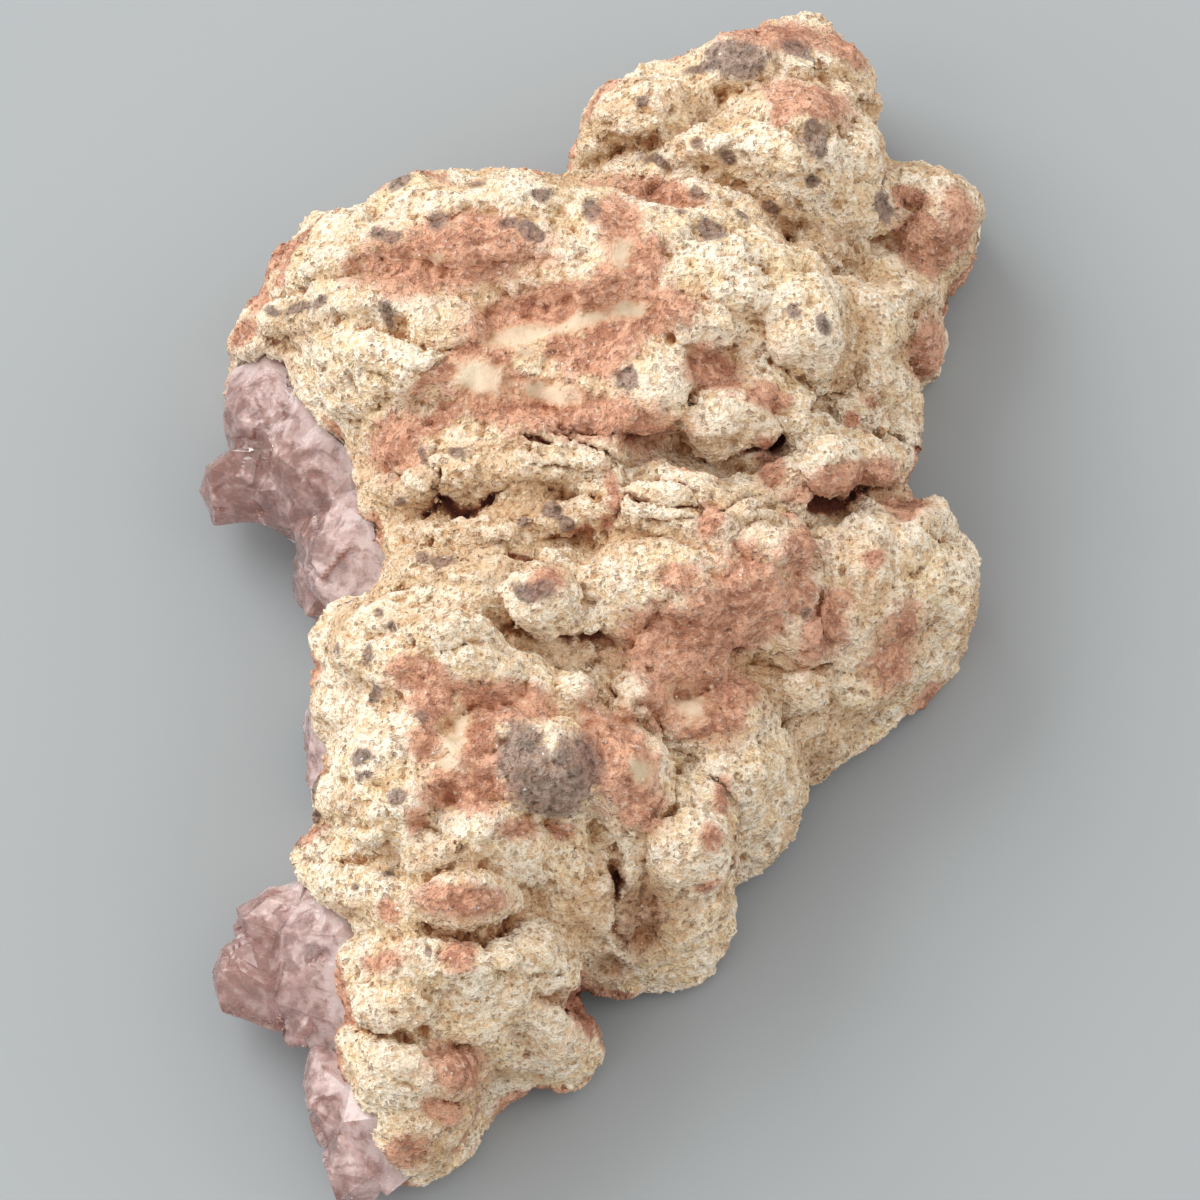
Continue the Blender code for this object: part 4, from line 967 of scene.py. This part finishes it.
def insideHollow(points):  # 1 in the crystal hollow of the underside
    turn = math.radians(amethyst["hollowTurn"])
    local = points - np.array(amethyst["hollowCentre"])
    x = local[:, 0] * math.cos(turn) + local[:, 1] * math.sin(turn)
    y = local[:, 1] * math.cos(turn) - local[:, 0] * math.sin(turn)
    half = amethyst["hollowHalf"]
    reach = (x / half[0]) ** 2 + (y / half[1]) ** 2 + (local[:, 2] / half[2]) ** 2
    return (reach < 1).astype(float)


def splitLong(piece):  # splits long edges, finer where the broken amethyst shows
    mesh = bmesh.new()
    mesh.from_mesh(piece.data)
    bmesh.ops.triangulate(mesh, faces=mesh.faces)
    while True:
        long = []
        for edge in mesh.edges:
            middle = (edge.verts[0].co + edge.verts[1].co) / 2
            shown = middle.x < amethyst["shownLeftOf"] and middle.z > amethyst["shownAbove"]
            most = amethyst["longestShown" if shown else "longestEdge"]
            if edge.calc_length() > most * amethyst["edgeSlack"]:
                long.append(edge)
        if not long:
            break
        bmesh.ops.subdivide_edges(mesh, edges=long, cuts=1, use_single_edge=True)
        bmesh.ops.triangulate(mesh, faces=[one for one in mesh.faces if len(one.verts) > 3])
    mesh.to_mesh(piece.data)
    mesh.free()


def facetValues():
    values = {}
    for level, (size, height) in enumerate(zip(amethyst["facetSizes"], amethyst["facetHeights"]), 1):
        values["Size %d" % level] = size
        values["Height %d" % level] = height
    return values


def brokenTree(values):  # tilted flat facets, one to a cell, at three sizes
    tree, given = geometryTree("Broken crystal", values)
    relief = stored(tree, "relief")
    position = tree.nodes.new("GeometryNodeInputPosition").outputs[0]
    total = 0.0
    for level in (1, 2, 3):
        place = shifted(tree, position, (11 * level, 5, 3 * level))
        perMillimetre = maths(tree, "DIVIDE", 1.0, given["Size %d" % level])
        cells = cellsAt(tree, place, perMillimetre)
        away = node(tree, "ShaderNodeVectorMath", {0: place, 1: cells["Position"]}, operation="SUBTRACT")
        lean = centred(tree, cells["Color"])
        dot = node(tree, "ShaderNodeVectorMath", {0: away.outputs[0], 1: lean}, operation="DOT_PRODUCT")
        slope = times(tree, times(tree, dot.outputs["Value"], perMillimetre), 2.0)
        height = times(tree, maths(tree, "SUBTRACT", slope, 0.2), given["Height %d" % level])
        total = maths(tree, "ADD", total, height)
    return finishTree(tree, raised(tree, given["Geometry"], times(tree, total, relief)))


def buildCrust(rindPiece):
    piece = mergedCopy("amethyst_crust", "amethystCrust")
    splitLong(piece)
    points, normals = readMesh(piece.data)
    hidden = hiddenParts(points, normals, rindPiece)
    hollow = insideHollow(points)
    tree = surfaceOf(rindPiece)
    nearRind = np.array([tree.find_nearest(Vector(point))[3] for point in points])
    print("  amethyst", len(points), "hidden", int(hidden.sum()), "in the hollow", int(hollow.sum()))
    shownPlaces = KDTree(len(points))
    for i in np.flatnonzero(hidden < 0.5):
        shownPlaces.insert(Vector(points[i]), int(i))
    shownPlaces.balance()
    fromShown = np.array([shownPlaces.find(Vector(point))[2] for point in points])
    sunk = amethyst["sunkUnderRock"] * ramp(fromShown, *amethyst["sinksOver"]) * hidden
    writePoints(piece, points - normals * sunk[:, None])
    relief = np.where(hollow > 0, amethyst["hollowRelief"], 1.0) * (1 - hidden)
    beside = np.maximum(ramp(nearRind, *amethyst["reliefBeside"]), amethyst["leastRelief"])
    store(piece, "relief", relief * beside)
    values = facetValues()
    addTree(piece, brokenTree(values), values)
    applied(piece)
    keptInBox(piece)
    store(piece, "rim", np.exp(-nearRind / amethyst["rimWidth"]))
    store(piece, "inHollow", hollow)
    print("  amethyst triangles", triangleCount(piece))
    return piece


cavityCrystals = {
    "apart": 0.9,
    "perArea": 1.2,
    "smallest": 0.35,
    "largest": 1.0,
    "lean": 0.45,
    "aboveFloor": 1.2,
    "seed": 5,
}


def crystalTree(material, values):  # small six-sided points, seated on the hollow's wall
    tree, given = geometryTree("Cavity crystals", values)
    spread = scatteredPoints(tree, given)
    prism = node(tree, "GeometryNodeMeshCylinder", {
        "Vertices": 6, "Radius": 0.5, "Depth": 0.9,
    }, fill_type="NGON")
    tip = node(tree, "GeometryNodeMeshCone", {
        "Vertices": 6, "Radius Top": 0.06, "Radius Bottom": 0.5, "Depth": 0.55,
    }, fill_type="NGON")
    tipUp = node(tree, "GeometryNodeTransform", {"Geometry": tip.outputs[0], "Translation": (0, 0, 0.45)})
    joined = tree.nodes.new("GeometryNodeJoinGeometry")
    tree.links.new(tipUp.outputs[0], joined.inputs[0])
    tree.links.new(prism.outputs[0], joined.inputs[0])
    seed = given["Seed"]
    jitter = scaled(tree, chance(tree, seed, 3, (-1, -1, -1), (1, 1, 1), "FLOAT_VECTOR"), given["Lean"])
    pointing = shifted(tree, spread["Normal"], jitter)
    aim = node(tree, "FunctionNodeAlignRotationToVector", {"Vector": pointing}, axis="Z")
    small = maths(tree, "POWER", chance(tree, seed, 5, 0.0, 1.0), 2.0)
    size = between(tree, small, 0.0, 1.0, given["Smallest"], given["Largest"])
    stretch = chance(tree, seed, 7, (0.8, 0.8, 0.8), (1.1, 1.1, 1.5), "FLOAT_VECTOR")
    placed = node(tree, "GeometryNodeInstanceOnPoints", {
        "Points": spread["Points"], "Instance": joined.outputs[0],
        "Rotation": aim.outputs[0], "Scale": scaled(tree, stretch, size),
    })
    return finishScatter(tree, placed.outputs[0], material)


def buildCavityCrystals(base, material):
    piece = linkedPiece("cavityCrystals", base.data.copy())
    points = readMesh(piece.data)[0]
    store(piece, "seats", storedValues(piece, "inHollow") * (points[:, 2] > cavityCrystals["aboveFloor"]))
    values = labelled(cavityCrystals, "apart perArea smallest largest lean seed")
    addTree(piece, crystalTree(material, values), values)
    applied(piece)
    keptInBox(piece)
    print("  cavity crystals", triangleCount(piece))
    return piece


amethystTones = {
    "clear": tone(214, 176, 170),
    "deep": tone(204, 160, 152),
    "milky": tone(220, 202, 200),
    "rosy": tone(212, 166, 152),
}


def amethystFinish():
    material, tree, shader = newFinish("milky amethyst")
    place = placeOn(tree)
    tones = amethystTones
    cloud = noiseAt(tree, warped(tree, place, 4.0, 1.5), 5, 2)
    wisps = noiseAt(tree, warped(tree, place, 2.0, 1.0), 1.6, 3, 0.6)
    frost = noiseAt(tree, place, 0.5, 3, 0.7)
    rim = marked(tree, "rim")
    base = blended(tree, between(tree, cloud, 0.42, 0.6), tones["deep"], tones["clear"])
    blush = between(tree, noiseAt(tree, shifted(tree, place, (9, 9, 1)), 6), 0.5, 0.62, 0, 0.5)
    base = blended(tree, blush, base, tones["rosy"])
    milky = maths(tree, "ADD", times(tree, wisps, 0.9), times(tree, rim, 0.35))
    milky = between(tree, milky, 0.4, 0.8)
    base = blended(tree, times(tree, milky, 0.8), base, tones["milky"])
    bump = node(tree, "ShaderNodeBump", {
        "Height": maths(tree, "ADD", frost, wisps), "Strength": 0.25, "Distance": 0.0002,
    })
    tree.links.new(base, shader.inputs["Base Color"])
    tree.links.new(bump.outputs[0], shader.inputs["Normal"])
    tree.links.new(between(tree, frost, 0.4, 0.7, 0.08, 0.32), shader.inputs["Roughness"])
    tree.links.new(maths(tree, "SUBTRACT", 0.75, times(tree, milky, 0.5)),
                   shader.inputs["Transmission Weight"])
    shader.inputs["IOR"].default_value = 1.54
    shader.inputs["Subsurface Weight"].default_value = 0.5
    shader.inputs["Subsurface Radius"].default_value = (1.0, 0.6, 0.55)
    shader.inputs["Subsurface Scale"].default_value = 0.003
    haze = node(tree, "ShaderNodeVolumeAbsorption")
    haze.inputs["Color"].default_value = (0.74, 0.48, 0.55, 1)
    haze.inputs["Density"].default_value = 15
    tree.links.new(haze.outputs[0], tree.nodes["Material Output"].inputs["Volume"])
    return material


def finishPiece(piece, material, replaced, smooth):
    piece.data.transform(Matrix.Scale(toMetres, 4))
    piece.data.materials.clear()
    piece.data.materials.append(material)
    piece.data.polygons.foreach_set("use_smooth", [smooth] * len(piece.data.polygons))
    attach(piece, "root")
    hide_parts(replaced)


view = {
    "elevation": math.radians(65),
    "distance": 1.0,
    "halfWidth": 0.05505,  # half the frame's width at the middle of the face
    "sensor": 36,
}
room = {
    "floorHalf": 1.5,
    "floor": tone(150, 155, 158),
    "floorRoughness": 0.9,
    "sky": (1, 0.965, 0.93, 1),
    "skyStrength": 0.93,
    "lampWidth": 1.3,
    "lamps": (  # name, place and power
        ("key", (-1.04, 0.81, 1.08), 25),
        ("fill", (-1.08, -0.63, 0.9), 6),
        ("side", (1.2, 0.1, 1.0), 5),
    ),
}


def softLight(name, place, power, target):
    light = bpy.data.lights.new(name, "AREA")
    light.energy = power
    light.size = room["lampWidth"]
    lamp = linkedPiece(name, light)
    lamp.location = place
    lamp.rotation_euler = (target - Vector(place)).to_track_quat("-Z", "Y").to_euler()


def buildRoom():
    scene = bpy.context.scene
    mesh = bmesh.new()
    bmesh.ops.create_grid(mesh, x_segments=1, y_segments=1, size=room["floorHalf"])
    data = bpy.data.meshes.new("floor")
    mesh.to_mesh(data)
    mesh.free()
    floor = linkedPiece("floor", data)
    material = bpy.data.materials.new("pale floor")
    material.use_nodes = True
    shader = material.node_tree.nodes["Principled BSDF"]
    shader.inputs["Base Color"].default_value = room["floor"]
    shader.inputs["Roughness"].default_value = room["floorRoughness"]
    data.materials.append(material)

    target = Vector((face["middleX"], face["middleY"], 0)) * toMetres
    back = Vector((0, -math.cos(view["elevation"]), math.sin(view["elevation"])))
    camera = linkedPiece("camera", bpy.data.cameras.new("camera"))
    camera.data.sensor_width = view["sensor"]
    camera.data.lens = view["sensor"] / 2 / view["halfWidth"] * view["distance"]
    camera.location = target + back * view["distance"]
    camera.rotation_euler = (-back).to_track_quat("-Z", "Y").to_euler()
    scene.camera = camera
    for name, place, power in room["lamps"]:
        softLight(name, place, power, target)
    world = bpy.data.worlds.new("studio")
    world.use_nodes = True
    world.node_tree.nodes["Background"].inputs[0].default_value = room["sky"]
    world.node_tree.nodes["Background"].inputs[1].default_value = room["skyStrength"]
    scene.world = world
    scene.view_settings.view_transform = "Standard"


rindShell = mergedCopy("rind", "rindShell")
crust = buildCrust(rindShell)
print("amethyst made:", len(crust.data.polygons), "faces")
crustShell = mergedCopy("amethyst_crust", "crustShell")
wallRock = buildRock(crustShell)
print("wall rock made:", len(wallRock.data.polygons), "faces")
rockMaterial = rockFinish()
scatter = crumbTree(rockMaterial)
crumbPieces = []
for number, row in enumerate(crumbs["pieces"], 1):
    crumbPieces.append(buildCrumbs(wallRock, scatter, number, crumbValues(*row)))
crystalMaterial = amethystFinish()
cavity = buildCavityCrystals(crust, crystalMaterial)
for piece in (rindShell, crustShell):
    bpy.data.objects.remove(piece)
for piece in crumbPieces + [wallRock]:
    finishPiece(piece, rockMaterial, "rind", True)
for piece in (crust, cavity):
    finishPiece(piece, crystalMaterial, "amethyst_crust", False)
buildRoom()
print("room made")
